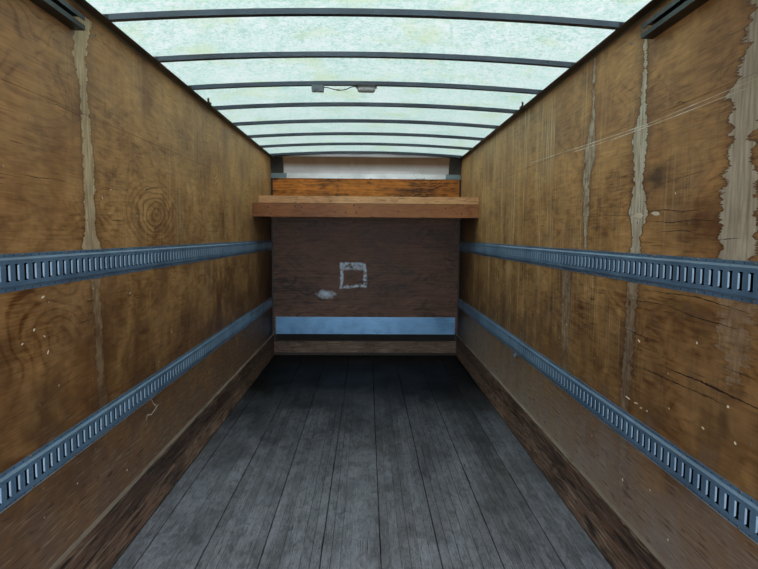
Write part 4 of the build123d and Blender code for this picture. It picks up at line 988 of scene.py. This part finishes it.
for finish_name, names in FINISH_NODES.items():
    for name in names.split():
        for material_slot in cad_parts[name].material_slots:
            material_slot.material = finishes[finish_name]
print("finishes of the solids", len(FINISH_NODES), "for", len(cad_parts), "pieces")

# %% [markdown]
# ## Lips in the slots of the rails
# The slotted rails are the piece that makes this body useful: a strap fitting snaps into any slot. The
# press that cuts a slot also rolls its two long edges inwards, so the fitting bears on a smooth lip. From
# the doorway one looks along the wall and sees the far lip catch the light, and beside it the dark hollow
# that goes round its top and foot. A bump can't be seen through a hole, so the lips are short strips whose
# section is a quarter of a soft round. A loop over the slots of the four rails builds them all.

# %% Slot lips
LINING_HALF = 1.180
# Just under and just proud of the lining's face
SUNK, PROUD = LINING_HALF + 0.0002, LINING_HALF - 0.0004
RAIL_RISE, RAIL_WALL = 0.0127, 0.0027
RAIL_FACE_HEIGHT = 0.101
RAIL_RIDGES = {"upper": FLOOR_HEIGHT + 1.449, "lower": FLOOR_HEIGHT + 0.736}
FIRST_SLOT, SLOT_PITCH, SLOT_COUNT = -3.5437, 0.0508, 141
SLOT_HALF_WIDTH, LIP_HALF_HEIGHT = 0.0120, 0.0255
slot_places = [FIRST_SLOT + i * SLOT_PITCH for i in range(SLOT_COUNT)]
# The lip's cross-section as (depth behind the rail's face, distance outside the slot's edge)
LIP_SECTION = (
    (-0.0002, 0.0012), (-0.0001, -0.0002), (0.0003, -0.0015), (0.0009, -0.0028), (0.0017, -0.0039),
    (0.0028, -0.0046), (0.0038, -0.0044), (0.0032, -0.0030), (0.0026, 0.0012),
)
# How far the lip reaches into the slot along its height, from foot to top
LIP_TAPER = ((-1.0, 0.45), (-0.94, 0.85), (-0.86, 1.0), (0.86, 1.0), (0.94, 0.85), (1.0, 0.45))
for row, ridge in RAIL_RIDGES.items():
    middle_z = ridge - RAIL_FACE_HEIGHT / 2
    for side_name, side in (("left", -1), ("right", 1)):
        face_x = LINING_HALF - RAIL_RISE
        # The front lips face the doorway and take a paler finish than the rear ones: rubbing by fittings, and
        # a painted highlight of the doorway light.
        for edge_name, way, lip_finish in (("rear", -1, "rail_steel"), ("front", 1, "rubbed_steel_painted_highlight")):
            lips = bmesh.new()
            for slot_y in slot_places:
                edge_y = slot_y + way * SLOT_HALF_WIDTH
                rings = []
                for share, reach in LIP_TAPER:
                    z = middle_z + share * LIP_HALF_HEIGHT
                    rings.append([(side * (face_x + d), edge_y + way * (e * reach if e < 0 else e), z)
                                  for d, e in LIP_SECTION])
                join_rings(lips, rings)
            make_piece(f"slot_lips_{edge_name}_{row}_{side_name}", lips, finishes[lip_finish],
                       True)

# %% [markdown]
# ## Holes and screws in the rails' flanges
# The rail's two narrow flanges have a small hole at every slot, and a screw in every sixth hole holds the
# rail to the posts. The holes are seen as dark dots. A cut in the solid would cost thousands of faces for
# each rail, so each hole is a shallow dark dish that lies on the flange, and each screw a low dome.

# %% Flange holes and rail screws
FLANGE_MIDDLE = 0.0065
HOLE_PROFILE = ((0.0031, 0.0), (0.0029, 0.00025), (0.0020, 0.0001))
RAIL_SCREW_PROFILE = ((0.0058, 0.0), (0.0055, 0.0014), (0.0040, 0.0026), (0.0018, 0.0031))
holes = bmesh.new()
rail_screws = bmesh.new()
for ridge in RAIL_RIDGES.values():
    for side in (-1, 1):
        flange_x = side * (LINING_HALF - RAIL_WALL)
        for z in (ridge + FLANGE_MIDDLE, ridge - RAIL_FACE_HEIGHT - FLANGE_MIDDLE):
            for i, slot_y in enumerate(slot_places):
                if i % 6 == 2:
                    spun(rail_screws, (flange_x, slot_y, z), (-side, 0, 0), RAIL_SCREW_PROFILE, 10)
                else:
                    spun(holes, (flange_x, slot_y, z), (-side, 0, 0), HOLE_PROFILE, 8)
make_piece("rail_flange_holes", holes, finishes["dark_trim"])
make_piece("rail_screws", rail_screws, finishes["screw_steel"], True)

# %% [markdown]
# ## Screws of the lining
# Flat-headed screws hold the plywood to the posts behind it, in upright rows at every post. They sit
# almost flush, so only a small worn disc shows. A jitter of a few millimetres keeps the rows from looking
# ruled, and a fixed seed keeps them the same at every run.

# %% Lining screws
POST_SPACING = 0.4064
SCREW_HEIGHTS = (0.52, 0.80, 1.12, 1.46, 1.80, 2.14, 2.31, 2.60)
SCREW_PROFILE = ((0.0044, 0.0), (0.0042, 0.0006), (0.0020, 0.0003))
LINING_REAR, LINING_FRONT = -3.6025, 3.6595
hand = random.Random(7)
lining_screws = bmesh.new()
post_count = int((LINING_FRONT - LINING_REAR) // POST_SPACING)
for side in (-1, 1):
    for post in range(post_count + 1):
        for z in SCREW_HEIGHTS:
            y = LINING_REAR + 0.03 + post * POST_SPACING + hand.uniform(-0.004, 0.004)
            spun(lining_screws, (side * SUNK, y, z + hand.uniform(-0.006, 0.006)), (-side, 0, 0),
                 SCREW_PROFILE, 9)
make_piece("lining_screws", lining_screws, finishes["screw_steel"])

# %% [markdown]
# ## Wear that has a thickness
# Forks, pallets and straps leave more than stains: chips of bare wood that stand up from the plywood,
# splinters along the kick boards, cracks, and two long scores where a strap ran along the right wall. Each
# chip is a small flat form with six uneven corners. One function makes it on either wall, and seeded random
# numbers give each its own outline. The places of those that the picture shows are in a table.

# %% Chips, splinters and scores on the walls
def chip(shape, side, surface, y, z, length, height, thick, lean):
    """Add one flat chip on a wall: its middle, its length along Y, its height, and how far it leans."""
    corners = []
    for k in range(6):
        turn = math.tau * k / 6
        reach = hand.uniform(0.65, 1.0)
        along, up = math.cos(turn) * length / 2 * reach, math.sin(turn) * height / 2 * reach
        corners.append((y + along * math.cos(lean) - up * math.sin(lean),
                        z + along * math.sin(lean) + up * math.cos(lean)))
    rings = []
    for depth, shrink in ((-0.0003, 1.0), (thick * 0.7, 0.92), (thick, 0.6)):
        rings.append([(side * (surface - depth), y + (cy - y) * shrink, z + (cz - z) * shrink)
                      for cy, cz in corners])
    join_rings(shape, rings)


# One row for each chip: side (-1 left, 1 right), place along Y, height, length, height of the chip, lean
CHIPS = (
    (1, -1.140, 1.834, 0.115, 0.030, 0.0), (1, -1.290, 1.838, 0.085, 0.024, 0.1),
    (1, -1.200, 1.299, 0.030, 0.010, 0.4), (1, -1.697, 1.084, 0.022, 0.010, 0.2),
    (1, -1.872, 1.095, 0.016, 0.010, 0.6), (1, -1.122, 1.026, 0.060, 0.010, 0.05),
    (1, -1.199, 1.026, 0.050, 0.009, -0.1), (1, -1.246, 1.018, 0.028, 0.009, -0.3),
    (1, -1.299, 1.022, 0.020, 0.008, 0.2), (1, -1.633, 1.371, 0.014, 0.010, 0.9),
    (1, -1.826, 1.198, 0.016, 0.012, 0.2), (1, -1.511, 0.577, 0.016, 0.012, 0.5),
    (1, -1.105, 0.640, 0.020, 0.007, 1.2), (-1, -1.494, 1.508, 0.030, 0.010, 0.2),
    (-1, -1.560, 1.397, 0.016, 0.012, 0.8), (-1, -1.635, 1.360, 0.018, 0.009, 0.3),
    (-1, -1.476, 1.300, 0.022, 0.007, 1.1), (-1, -0.712, 1.445, 0.018, 0.008, 0.4),
    (-1, -0.812, 0.568, 0.016, 0.009, 0.2),
)
chips = bmesh.new()
for side, y, z, length, height, lean in CHIPS:
    chip(chips, side, LINING_HALF, y, z, length, height, 0.0016, lean)
CHIP_HEIGHTS, CHIP_COUNT, SPLINTER_COUNT = (1.06, 1.30, 1.50, 0.70, 0.62, 1.86), 90, 230
for k in range(CHIP_COUNT):
    side = hand.choice((-1, 1))
    y = hand.uniform(-3.4, 3.2)
    z = hand.choice(CHIP_HEIGHTS) + hand.uniform(-0.10, 0.10)
    if not any(abs(z - hollow) < 0.085 for hollow in RAIL_HOLLOWS):
        chip(chips, side, LINING_HALF, y, z, hand.uniform(0.006, 0.018), hand.uniform(0.003, 0.008), 0.0010,
             hand.uniform(-1.2, 1.2))
make_piece("lining_chips", chips, finishes["bare_wood"])

splinters = bmesh.new()
KICK_FACE = LINING_HALF - 0.025
for side in (-1, 1):
    for k in range(SPLINTER_COUNT):
        y = hand.uniform(-3.55, 3.55)
        z = hand.choice((KICK_JOINT_HEIGHT + 0.010, KICK_JOINT_HEIGHT - 0.012, KICK_TOP - 0.012,
                         hand.uniform(0.24, 0.47)))
        chip(splinters, side, KICK_FACE, y, z + hand.uniform(-0.006, 0.006), hand.uniform(0.03, 0.22),
             hand.uniform(0.003, 0.012), hand.uniform(0.001, 0.003), hand.uniform(-0.05, 0.05))
make_piece("kick_board_splinters", splinters, finishes["splinter_wood"])

# Each score as its side and its rows of place along Y and height: two long ones, and a forked scratch
SCORES = (
    (1, ((-2.60, 2.240), (-1.875, 2.223), (-1.165, 2.215), (-0.40, 2.236), (0.329, 2.259), (0.572, 2.268))),
    (1, ((-2.20, 2.214), (-1.876, 2.205), (-1.331, 2.204), (-0.90, 2.207), (-0.30, 2.222))),
    (-1, ((-0.361, 0.770), (-0.420, 0.754), (-0.471, 0.743), (-0.526, 0.759), (-0.552, 0.734))),
    (-1, ((-0.466, 0.829), (-0.438, 0.797), (-0.394, 0.768))),
)
SCRATCH_HALF = 0.0026
scores = bmesh.new()
for side, score in SCORES:
    rings = []
    for (y0, z0), (y1, z1) in zip(score, score[1:]):
        for k in range(24):
            y, z = y0 + (y1 - y0) * k / 24, z0 + (z1 - z0) * k / 24
            half = hand.uniform(0.0008, 0.0026) if side > 0 else SCRATCH_HALF
            under, over = side * SUNK, side * (PROUD - 0.0001)
            rings.append([(under, y, z - half), (over, y, z - half * 0.5), (over, y, z + half * 0.5),
                          (under, y, z + half)])
    join_rings(scores, rings)
make_piece("strap_scores", scores, finishes["bare_wood"])

# %% Cracks in the side linings
# Each crack as its side and its rows of place along Y, height and half width in millimetres
CRACKS = (
    (1, ((-1.10, 1.466, 0.5), (-1.25, 1.474, 2.4), (-1.42, 1.478, 1.4), (-1.60, 1.462, 2.6),
         (-1.86, 1.456, 0.6))),
    (1, ((-1.168, 1.520, 0.5), (-1.418, 1.527, 2.0), (-1.635, 1.533, 2.8), (-1.794, 1.521, 1.6),
         (-1.904, 1.512, 0.5))),
    (1, ((-1.225, 1.846, 0.6), (-1.36, 1.852, 2.4), (-1.50, 1.840, 1.4), (-1.66, 1.846, 0.5))),
    (1, ((-1.235, 1.812, 0.6), (-1.42, 1.800, 2.2), (-1.58, 1.808, 2.6), (-1.72, 1.796, 0.5))),
    (1, ((-1.30, 1.762, 0.5), (-1.48, 1.770, 1.8), (-1.62, 1.758, 0.5))),
    (1, ((-0.50, 1.850, 0.4), (-1.07, 1.842, 1.0), (-1.13, 1.840, 0.4))),
    (1, ((-1.230, 1.935, 0.5), (-1.339, 1.955, 1.2), (-1.531, 1.970, 1.4), (-1.640, 1.977, 0.4))),
    (1, ((-1.722, 1.736, 0.5), (-1.780, 1.741, 2.2), (-1.835, 1.743, 0.5))),
    (1, ((-1.395, 2.246, 0.5), (-1.43, 2.250, 3.4), (-1.475, 2.241, 0.5))),
    (1, ((-0.645, 2.590, 0.4), (-0.69, 2.597, 2.0), (-0.735, 2.600, 0.4))),
    (1, ((-2.10, 0.610, 0.5), (-1.70, 0.640, 1.6), (-1.20, 0.652, 0.5))),
    (1, ((-1.38, 1.236, 0.5), (-1.50, 1.236, 2.4), (-1.62, 1.240, 4.0), (-1.73, 1.241, 6.0),
         (-1.85, 1.236, 5.0), (-1.98, 1.236, 2.0))),
    (1, ((-1.153, 1.185, 0.6), (-1.308, 1.191, 2.2), (-1.451, 1.193, 3.2), (-1.60, 1.197, 1.6),
         (-1.702, 1.200, 3.4), (-1.82, 1.199, 0.6))),
    (1, ((-1.06, 1.332, 0.5), (-1.16, 1.326, 2.6), (-1.26, 1.322, 2.0), (-1.36, 1.326, 0.5))),
    (-1, ((-1.419, 2.229, 0.4), (-1.321, 2.232, 1.6), (-1.229, 2.228, 1.3), (-1.164, 2.226, 0.4))),
    (-1, ((-1.602, 1.943, 0.4), (-1.48, 1.941, 1.5), (-1.40, 1.946, 0.8), (-1.327, 1.945, 1.3),
          (-1.24, 1.938, 0.4))),
    (-1, ((-0.491, 1.965, 0.5), (-0.44, 1.982, 4.0), (-0.36, 1.996, 2.0), (-0.232, 2.003, 0.4))),
    (-1, ((-0.375, 1.766, 0.5), (-0.330, 1.772, 4.5), (-0.290, 1.782, 3.0), (-0.246, 1.804, 0.5))),
    (-1, ((-1.75, 0.900, 0.4), (-1.45, 0.990, 1.2), (-1.05, 1.060, 0.4))),
    (-1, ((-1.60, 1.100, 0.4), (-1.35, 1.150, 1.0), (-1.12, 1.165, 0.4))),
)
cracks = bmesh.new()
for side, line in CRACKS:
    rings = []
    for (y0, z0, w0), (y1, z1, w1) in zip(line, line[1:]):
        for k in range(9):
            share = k / 8
            y, z = y0 + (y1 - y0) * share + k * 1e-5, z0 + (z1 - z0) * share + hand.uniform(-0.0014, 0.0014)
            half = (w0 + (w1 - w0) * share) * hand.uniform(0.5, 1.1) / 1000
            rings.append([(side * SUNK, y, z - half), (side * PROUD, y, z - half * 0.6),
                          (side * PROUD, y, z + half * 0.6), (side * SUNK, y, z + half)])
    join_rings(cracks, rings)
make_piece("lining_cracks", cracks, finishes["crack_dirt"])

# %% Nail holes in the lower shelf board, and a near black strip in the gap behind the front boards as painted shade
SHELF_FACE = 2.4595
NAIL_HOLES = (
    (-1.019, 2.025), (-0.740, 2.035), (-0.670, 2.023), (-0.657, 1.958), (-0.319, 1.978), (-0.213, 1.975),
    (-0.103, 1.973), (-0.126, 2.050), (0.337, 1.992), (0.832, 2.024), (1.008, 2.060), (1.001, 1.973),
    (-0.994, 1.955),
)
nails = bmesh.new()
for x, z in NAIL_HOLES:
    size = hand.uniform(0.006, 0.011)
    spun(nails, (x, SHELF_FACE, z), (0, -1, 0),
         ((size, -0.0002), (size * 0.9, 0.0004), (size * 0.5, 0.0001)), 9)
make_piece("shelf_nail_holes", nails, finishes["dark_trim"])
gap_low, gap_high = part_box("front_kick_board")[1].z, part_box("front_scuff_band")[0].z
# Painted shade: a near black strip fills the gap between the front kick board and the scuff band.
gap_strip = bmesh.new()
slab(gap_strip, (-1.130, 3.6690, gap_low + 0.0005), (1.130, 3.6712, gap_high - 0.0005), 0.0006)
make_piece("front_gap_strip", gap_strip, finishes["gap_painted_shade"])

# %% [markdown]
# ## The inside lamp and its switch
# A milky oblong lens sits on a flat base under the middle of one bow, and a small switch box hangs beside
# it. The lens is a low cushion: rings with round corners get smaller as they go down, which is how such a
# lens is drawn from the mould. The base is a flatter cushion in the solid's box, and the solid lamp is
# hidden.

# %% Dome lamp
CORNER_STEPS = 5


def cushion_ring(centre_x, centre_y, half_x, half_y, corner, z):
    """Closed ring of an oblong with round corners."""
    corner = min(corner, half_x, half_y)
    ring = []
    for start, sign_x, sign_y in ((0, 1, 1), (90, -1, 1), (180, -1, -1), (270, 1, -1)):
        for i in range(CORNER_STEPS + 1):
            turn = math.radians(start + 90 * i / CORNER_STEPS)
            ring.append((centre_x + sign_x * (half_x - corner) + corner * math.cos(turn),
                         centre_y + sign_y * (half_y - corner) + corner * math.sin(turn), z))
    return ring


def cushion(name, low, high, rows, finish, smooth=False):
    """A cushion as big as a box: rows of inset, drop from the box's top and corner radius."""
    middle, half = (low + high) / 2, (high - low) / 2
    shape = bmesh.new()
    join_rings(shape, [cushion_ring(middle.x, middle.y, half.x - inset, half.y - inset, corner, high.z - drop)
                       for inset, drop, corner in rows])
    return make_piece(name, shape, finishes[finish], smooth)


lamp_low, lamp_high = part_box("dome_lamp")
BASE_THICK, LENS_DROP, BASE_CORNER = 0.012, 0.030, 0.014
BASE_ROWS = ((0.0, 0.0), (0.0, 0.009), (0.0015, 0.0115), (0.004, 0.012))
cushion("lamp_base", lamp_low, lamp_high, [(inset, drop, BASE_CORNER - inset) for inset, drop in BASE_ROWS],
        "box_plastic")
LENS_ROWS = ((0.010, BASE_THICK - 0.001), (0.010, BASE_THICK + 0.012), (0.012, BASE_THICK + 0.020),
             (0.016, BASE_THICK + 0.026), (0.022, BASE_THICK + 0.029), (0.030, BASE_THICK + LENS_DROP))
lamp_lens = cushion("lamp_lens", lamp_low, lamp_high,
                    [(inset, drop, max(0.004, 0.022 - inset / 2)) for inset, drop in LENS_ROWS],
                    "milky_lens", True)
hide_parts("dome_lamp")

# %% Switch box with its rocker
box_low, box_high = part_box("lamp_switch")
box_depth, BOX_CORNER = box_high.z - box_low.z, 0.006
BOX_ROWS = ((0.002, 0.0), (0.0, 0.002), (0.0, box_depth * 0.62), (0.0015, box_depth * 0.64),
            (0.0015, box_depth * 0.92), (0.004, box_depth - 0.0035))
switch_box = cushion("switch_box", box_low, box_high, [(inset, drop, BOX_CORNER) for inset, drop in BOX_ROWS],
                     "switch_plastic")
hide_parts("lamp_switch")
rocker_shape = bmesh.new()
rocker = Vector(((box_low.x + box_high.x) / 2, (box_low.y + box_high.y) / 2, box_low.z))
slab(rocker_shape, rocker - Vector((0.012, 0.007, 0)), rocker + Vector((0.012, 0.007, 0.008)), 0.0015)
make_piece("switch_rocker", rocker_shape, finishes["roller_plastic"])

# %% [markdown]
# ## Clips at the bows' ends and small damage
# Each bow is bolted to the ledge of the roof rail through a small bent clip. Between the lamp's bow and
# the next one a loose clip stands up on both sides. Under the lower right rail a tab of its flange is bent
# down.

# %% Bow clips, loose clips, track bolts and the bent tab
LEDGE_HEIGHT = 2.678
BOW_WIDTH = 0.032
FIRST_BOW, BOW_SPACING, FRONT_SPACING = -3.4149, 0.6096, 0.6410
bow_places = [FIRST_BOW + i * BOW_SPACING + max(0, i - 7) * (FRONT_SPACING - BOW_SPACING)
              for i in range(12)]
CLIP_INNER, CLIP_BOLT, CLIP_OUTER, LOOSE_INNER = 1.131, 1.152, 1.172, 1.118
clips = bmesh.new()
clip_bolts = bmesh.new()
for bow_y in bow_places:
    for side in (-1, 1):
        x0, x1 = sorted((side * CLIP_INNER, side * CLIP_OUTER))
        slab(clips, (x0, bow_y - 0.0165, LEDGE_HEIGHT + 0.0002),
             (x1, bow_y - 0.0002, LEDGE_HEIGHT + 0.0032), 0.0008)
        slab(clips, (x0, bow_y - 0.0030, LEDGE_HEIGHT + 0.0030),
             (x1, bow_y - 0.0002, LEDGE_HEIGHT + 0.0200), 0.0008)
        spun(clip_bolts, (side * CLIP_BOLT, bow_y - 0.0030, LEDGE_HEIGHT + 0.012), (0, -1, 0),
             ((0.0060, 0.0), (0.0060, 0.0035), (0.0045, 0.0042)), 6)
LOOSE_CLIP = bow_places[7] - 0.20
for side in (-1, 1):
    x0, x1 = sorted((side * LOOSE_INNER, side * CLIP_INNER))
    slab(clips, (x0, LOOSE_CLIP - 0.045, LEDGE_HEIGHT - 0.006),
         (x1, LOOSE_CLIP + 0.02, LEDGE_HEIGHT + 0.006),
         0.0015)
    slab(clips, (x0, LOOSE_CLIP - 0.045, LEDGE_HEIGHT + 0.004),
         (x1, LOOSE_CLIP - 0.036, LEDGE_HEIGHT + 0.034),
         0.0015)
make_piece("bow_clips", clips, finishes["gusset_steel"])
make_piece("bow_clip_bolts", clip_bolts, finishes["screw_steel"])

TRACK_FACE, TRACK_BOLT_HEIGHT, TRACK_BOLT_PLACES = 1.1302, 2.565, (-1.116, -1.62, -2.30, -2.98)
TRACK_BOLT_PROFILE = ((0.0075, 0.0), (0.0075, 0.0010), (0.0052, 0.0016), (0.0050, 0.0046), (0.0036, 0.0054))
track_bolts = bmesh.new()
for side in (-1, 1):
    for y in TRACK_BOLT_PLACES:
        spun(track_bolts, (side * TRACK_FACE, y, TRACK_BOLT_HEIGHT), (-side, 0, 0), TRACK_BOLT_PROFILE, 6)
make_piece("track_bolts", track_bolts, finishes["screw_steel"])

# The tab's line as places across the body and heights, half its thickness, and its rear and front edge
TAB_LINE = ((1.1773, 0.842), (1.1770, 0.832), (1.1735, 0.822), (1.1670, 0.812), (1.1650, 0.803))
TAB_HALF, TAB_REAR, TAB_FRONT = 0.0013, 0.775, 0.835
tab = bmesh.new()
join_rings(tab, [[(x - TAB_HALF, TAB_REAR, z), (x + TAB_HALF, TAB_REAR, z), (x + TAB_HALF, TAB_FRONT, z),
                  (x - TAB_HALF, TAB_FRONT, z)] for x, z in TAB_LINE])
make_piece("bent_flange_tab", tab, finishes["rail_steel"])

# %% [markdown]
# ## Rivets on the outside
# The skin sheets are riveted to the posts and rails with rows of low round heads. There are well over a
# thousand, so each is a small three-ring dome with eight sides, all in one mesh. Two rows stand at each
# upright joint and one row runs along each rail.

# %% Skin rivets
RIVET_PROFILE = ((0.0052, 0.0), (0.0044, 0.0015), (0.0020, 0.0024))
OUTSIDE_HALF, RAIL_OUTSIDE = 1.219, 1.223
rivets = bmesh.new()
SKIN_FOOT, SKIN_TOP = 0.345, 2.585
RAIL_ROWS = (0.306, 0.190, 2.625)
for side in (-1, 1):
    out = (side, 0, 0)
    for joint in range(PANEL_COUNT + 1):
        for step in (-0.018, 0.018):
            y = PANEL_REAR + joint * panel_pitch + step
            if PANEL_REAR < y < PANEL_FRONT:
                for k in range(30):
                    z = SKIN_FOOT + (SKIN_TOP - SKIN_FOOT) * k / 29
                    spun(rivets, (side * OUTSIDE_HALF, y, z), out, RIVET_PROFILE, 8)
    for k in range(96):
        y = PANEL_REAR + 0.03 + (PANEL_FRONT - PANEL_REAR - 0.06) * k / 95
        for z in RAIL_ROWS:
            spun(rivets, (side * RAIL_OUTSIDE, y, z), out, RIVET_PROFILE, 8)
make_piece("skin_rivets", rivets, finishes["aluminium"], True)

front_rivets = bmesh.new()
FRONT_FACE, FRONT_RAIL_FACE = 3.6985, 3.7025
FRONT_RAIL_ROWS, FRONT_HALF = (0.306, 2.640), 1.140
for x in (-0.018, 0.018, -FRONT_HALF, FRONT_HALF, -0.575, 0.575):
    for k in range(28):
        z = SKIN_FOOT + 2.215 * k / 27
        spun(front_rivets, (x, FRONT_FACE, z), (0, 1, 0), RIVET_PROFILE, 8)
for k in range(30):
    x = -FRONT_HALF + 2 * FRONT_HALF * k / 29
    for z in FRONT_RAIL_ROWS:
        spun(front_rivets, (x, FRONT_RAIL_FACE, z), (0, 1, 0), RIVET_PROFILE, 8)
make_piece("front_rivets", front_rivets, finishes["aluminium"], True)

# %% Roof rivets
LEDGE_HALF, ROOF_CROWN, BOW_DEPTH, SHEET_THICK = 1.130, 0.040, 0.025, 0.002
bow_radius = (LEDGE_HALF ** 2 + ROOF_CROWN ** 2) / (2 * ROOF_CROWN)
arc_centre = LEDGE_HEIGHT + ROOF_CROWN - bow_radius
top_radius = bow_radius + BOW_DEPTH + SHEET_THICK
roof_rivets = bmesh.new()
rivet_places = [(-1.10 + 0.20 * k, bow_y + BOW_WIDTH / 2) for bow_y in bow_places for k in range(12)]
rivet_places += [(side * 1.200, -3.64 + 0.075 * k) for side in (-1, 1) for k in range(97)]
for x, y in rivet_places:
    out = Vector((x, 0, math.sqrt(top_radius ** 2 - x ** 2))).normalized()
    spun(roof_rivets, Vector((0, y, arc_centre)) + out * top_radius, out, RIVET_PROFILE, 8)
make_piece("roof_rivets", roof_rivets, finishes["aluminium"], True)

# %% [markdown]
# ## Lamps outside
# Each outside lamp is a plain block in the solid model. A lens with a rounded face and vertical ribs
# covers it. The ribs are real here, because the lamps are seen from close by.

# %% Lenses of the outside lamps
def ribbed_lens(shape, low, high, way, ribs):
    """Lens on the face of a lamp block: its outline shrinks as it comes out, and ribs run up and down."""
    inset, depth = 0.006, 0.004
    face_y = high.y if way > 0 else low.y
    count = 2 * ribs
    columns = []
    for i in range(count + 1):
        x = low.x + inset + (high.x - low.x - 2 * inset) * i / count
        proud = way * (depth + (0.0012 if i % 2 else 0.0))
        columns.append([(x, face_y - way * 0.002, low.z + inset), (x, face_y + proud * 0.6, low.z + inset),
                        (x, face_y + proud, low.z + inset + 0.004),
                        (x, face_y + proud, high.z - inset - 0.004),
                        (x, face_y + proud * 0.6, high.z - inset),
                        (x, face_y - way * 0.002, high.z - inset)])
    join_rings(shape, columns)


# Lamp middles across the body, half length, low and high edge, face, way it looks
MARKER_X = (-1.060, -0.230, 0.0, 0.230, 1.060)
MARKER_HALF, MARKER_LOW, MARKER_HIGH = 0.050, 2.6125, 2.6445
REAR_LAMP_X = (-1.045, -0.850, 0.850, 1.045)
REAR_LAMP_HALF, REAR_LAMP_LOW, REAR_LAMP_HIGH = 0.0825, 0.127, 0.184
REAR_FACE = -3.7025
lenses = bmesh.new()
for x in MARKER_X:
    for way in (-1, 1):
        y0, y1 = sorted((way * abs(REAR_FACE), way * (abs(REAR_FACE) + 0.004)))
        ribbed_lens(lenses, Vector((x - MARKER_HALF, y0, MARKER_LOW)),
                    Vector((x + MARKER_HALF, y1, MARKER_HIGH)), way, 8)
for x in REAR_LAMP_X:
    ribbed_lens(lenses, Vector((x - REAR_LAMP_HALF, REAR_FACE - 0.004, REAR_LAMP_LOW)),
                Vector((x + REAR_LAMP_HALF, REAR_FACE, REAR_LAMP_HIGH)), -1, 14)
make_piece("outside_lenses", lenses, finishes["marker_lens"])

# %% [markdown]
# ## Springs of the roll-up door
# Behind the header a shaft carries two wound springs that balance the door. The solid has them as plain
# rollers. The winding is a helix: a small ring of points follows a spiral line round the roller, turn
# next to turn.

# %% Spring windings
SHAFT_Y, SHAFT_Z = -3.6485, 2.645
SPRING_RADIUS, SPRING_NEAR, SPRING_FAR = 0.030, 0.310, 0.870
WINDING_PITCH, WINDING_RADIUS, STEPS_PER_TURN = 0.016, 0.0045, 14
WIRE_TURNS = [math.tau * k / 6 for k in range(6)]
springs = bmesh.new()
for side in (-1, 1):
    rings = []
    total = int((SPRING_FAR - SPRING_NEAR - 0.01) / WINDING_PITCH * STEPS_PER_TURN)
    for i in range(total):
        turn = math.tau * i / STEPS_PER_TURN
        x = side * (SPRING_NEAR + 0.005 + WINDING_PITCH * i / STEPS_PER_TURN)
        out = Vector((0, math.cos(turn), math.sin(turn)))
        centre = Vector((x, SHAFT_Y, SHAFT_Z)) + out * (SPRING_RADIUS - 0.001)
        rings.append([centre + out * (WINDING_RADIUS * math.cos(a))
                      + Vector((WINDING_RADIUS * math.sin(a), 0, 0)) for a in WIRE_TURNS])
    join_rings(springs, rings)
make_piece("spring_windings", springs, finishes["dark_trim"], True)
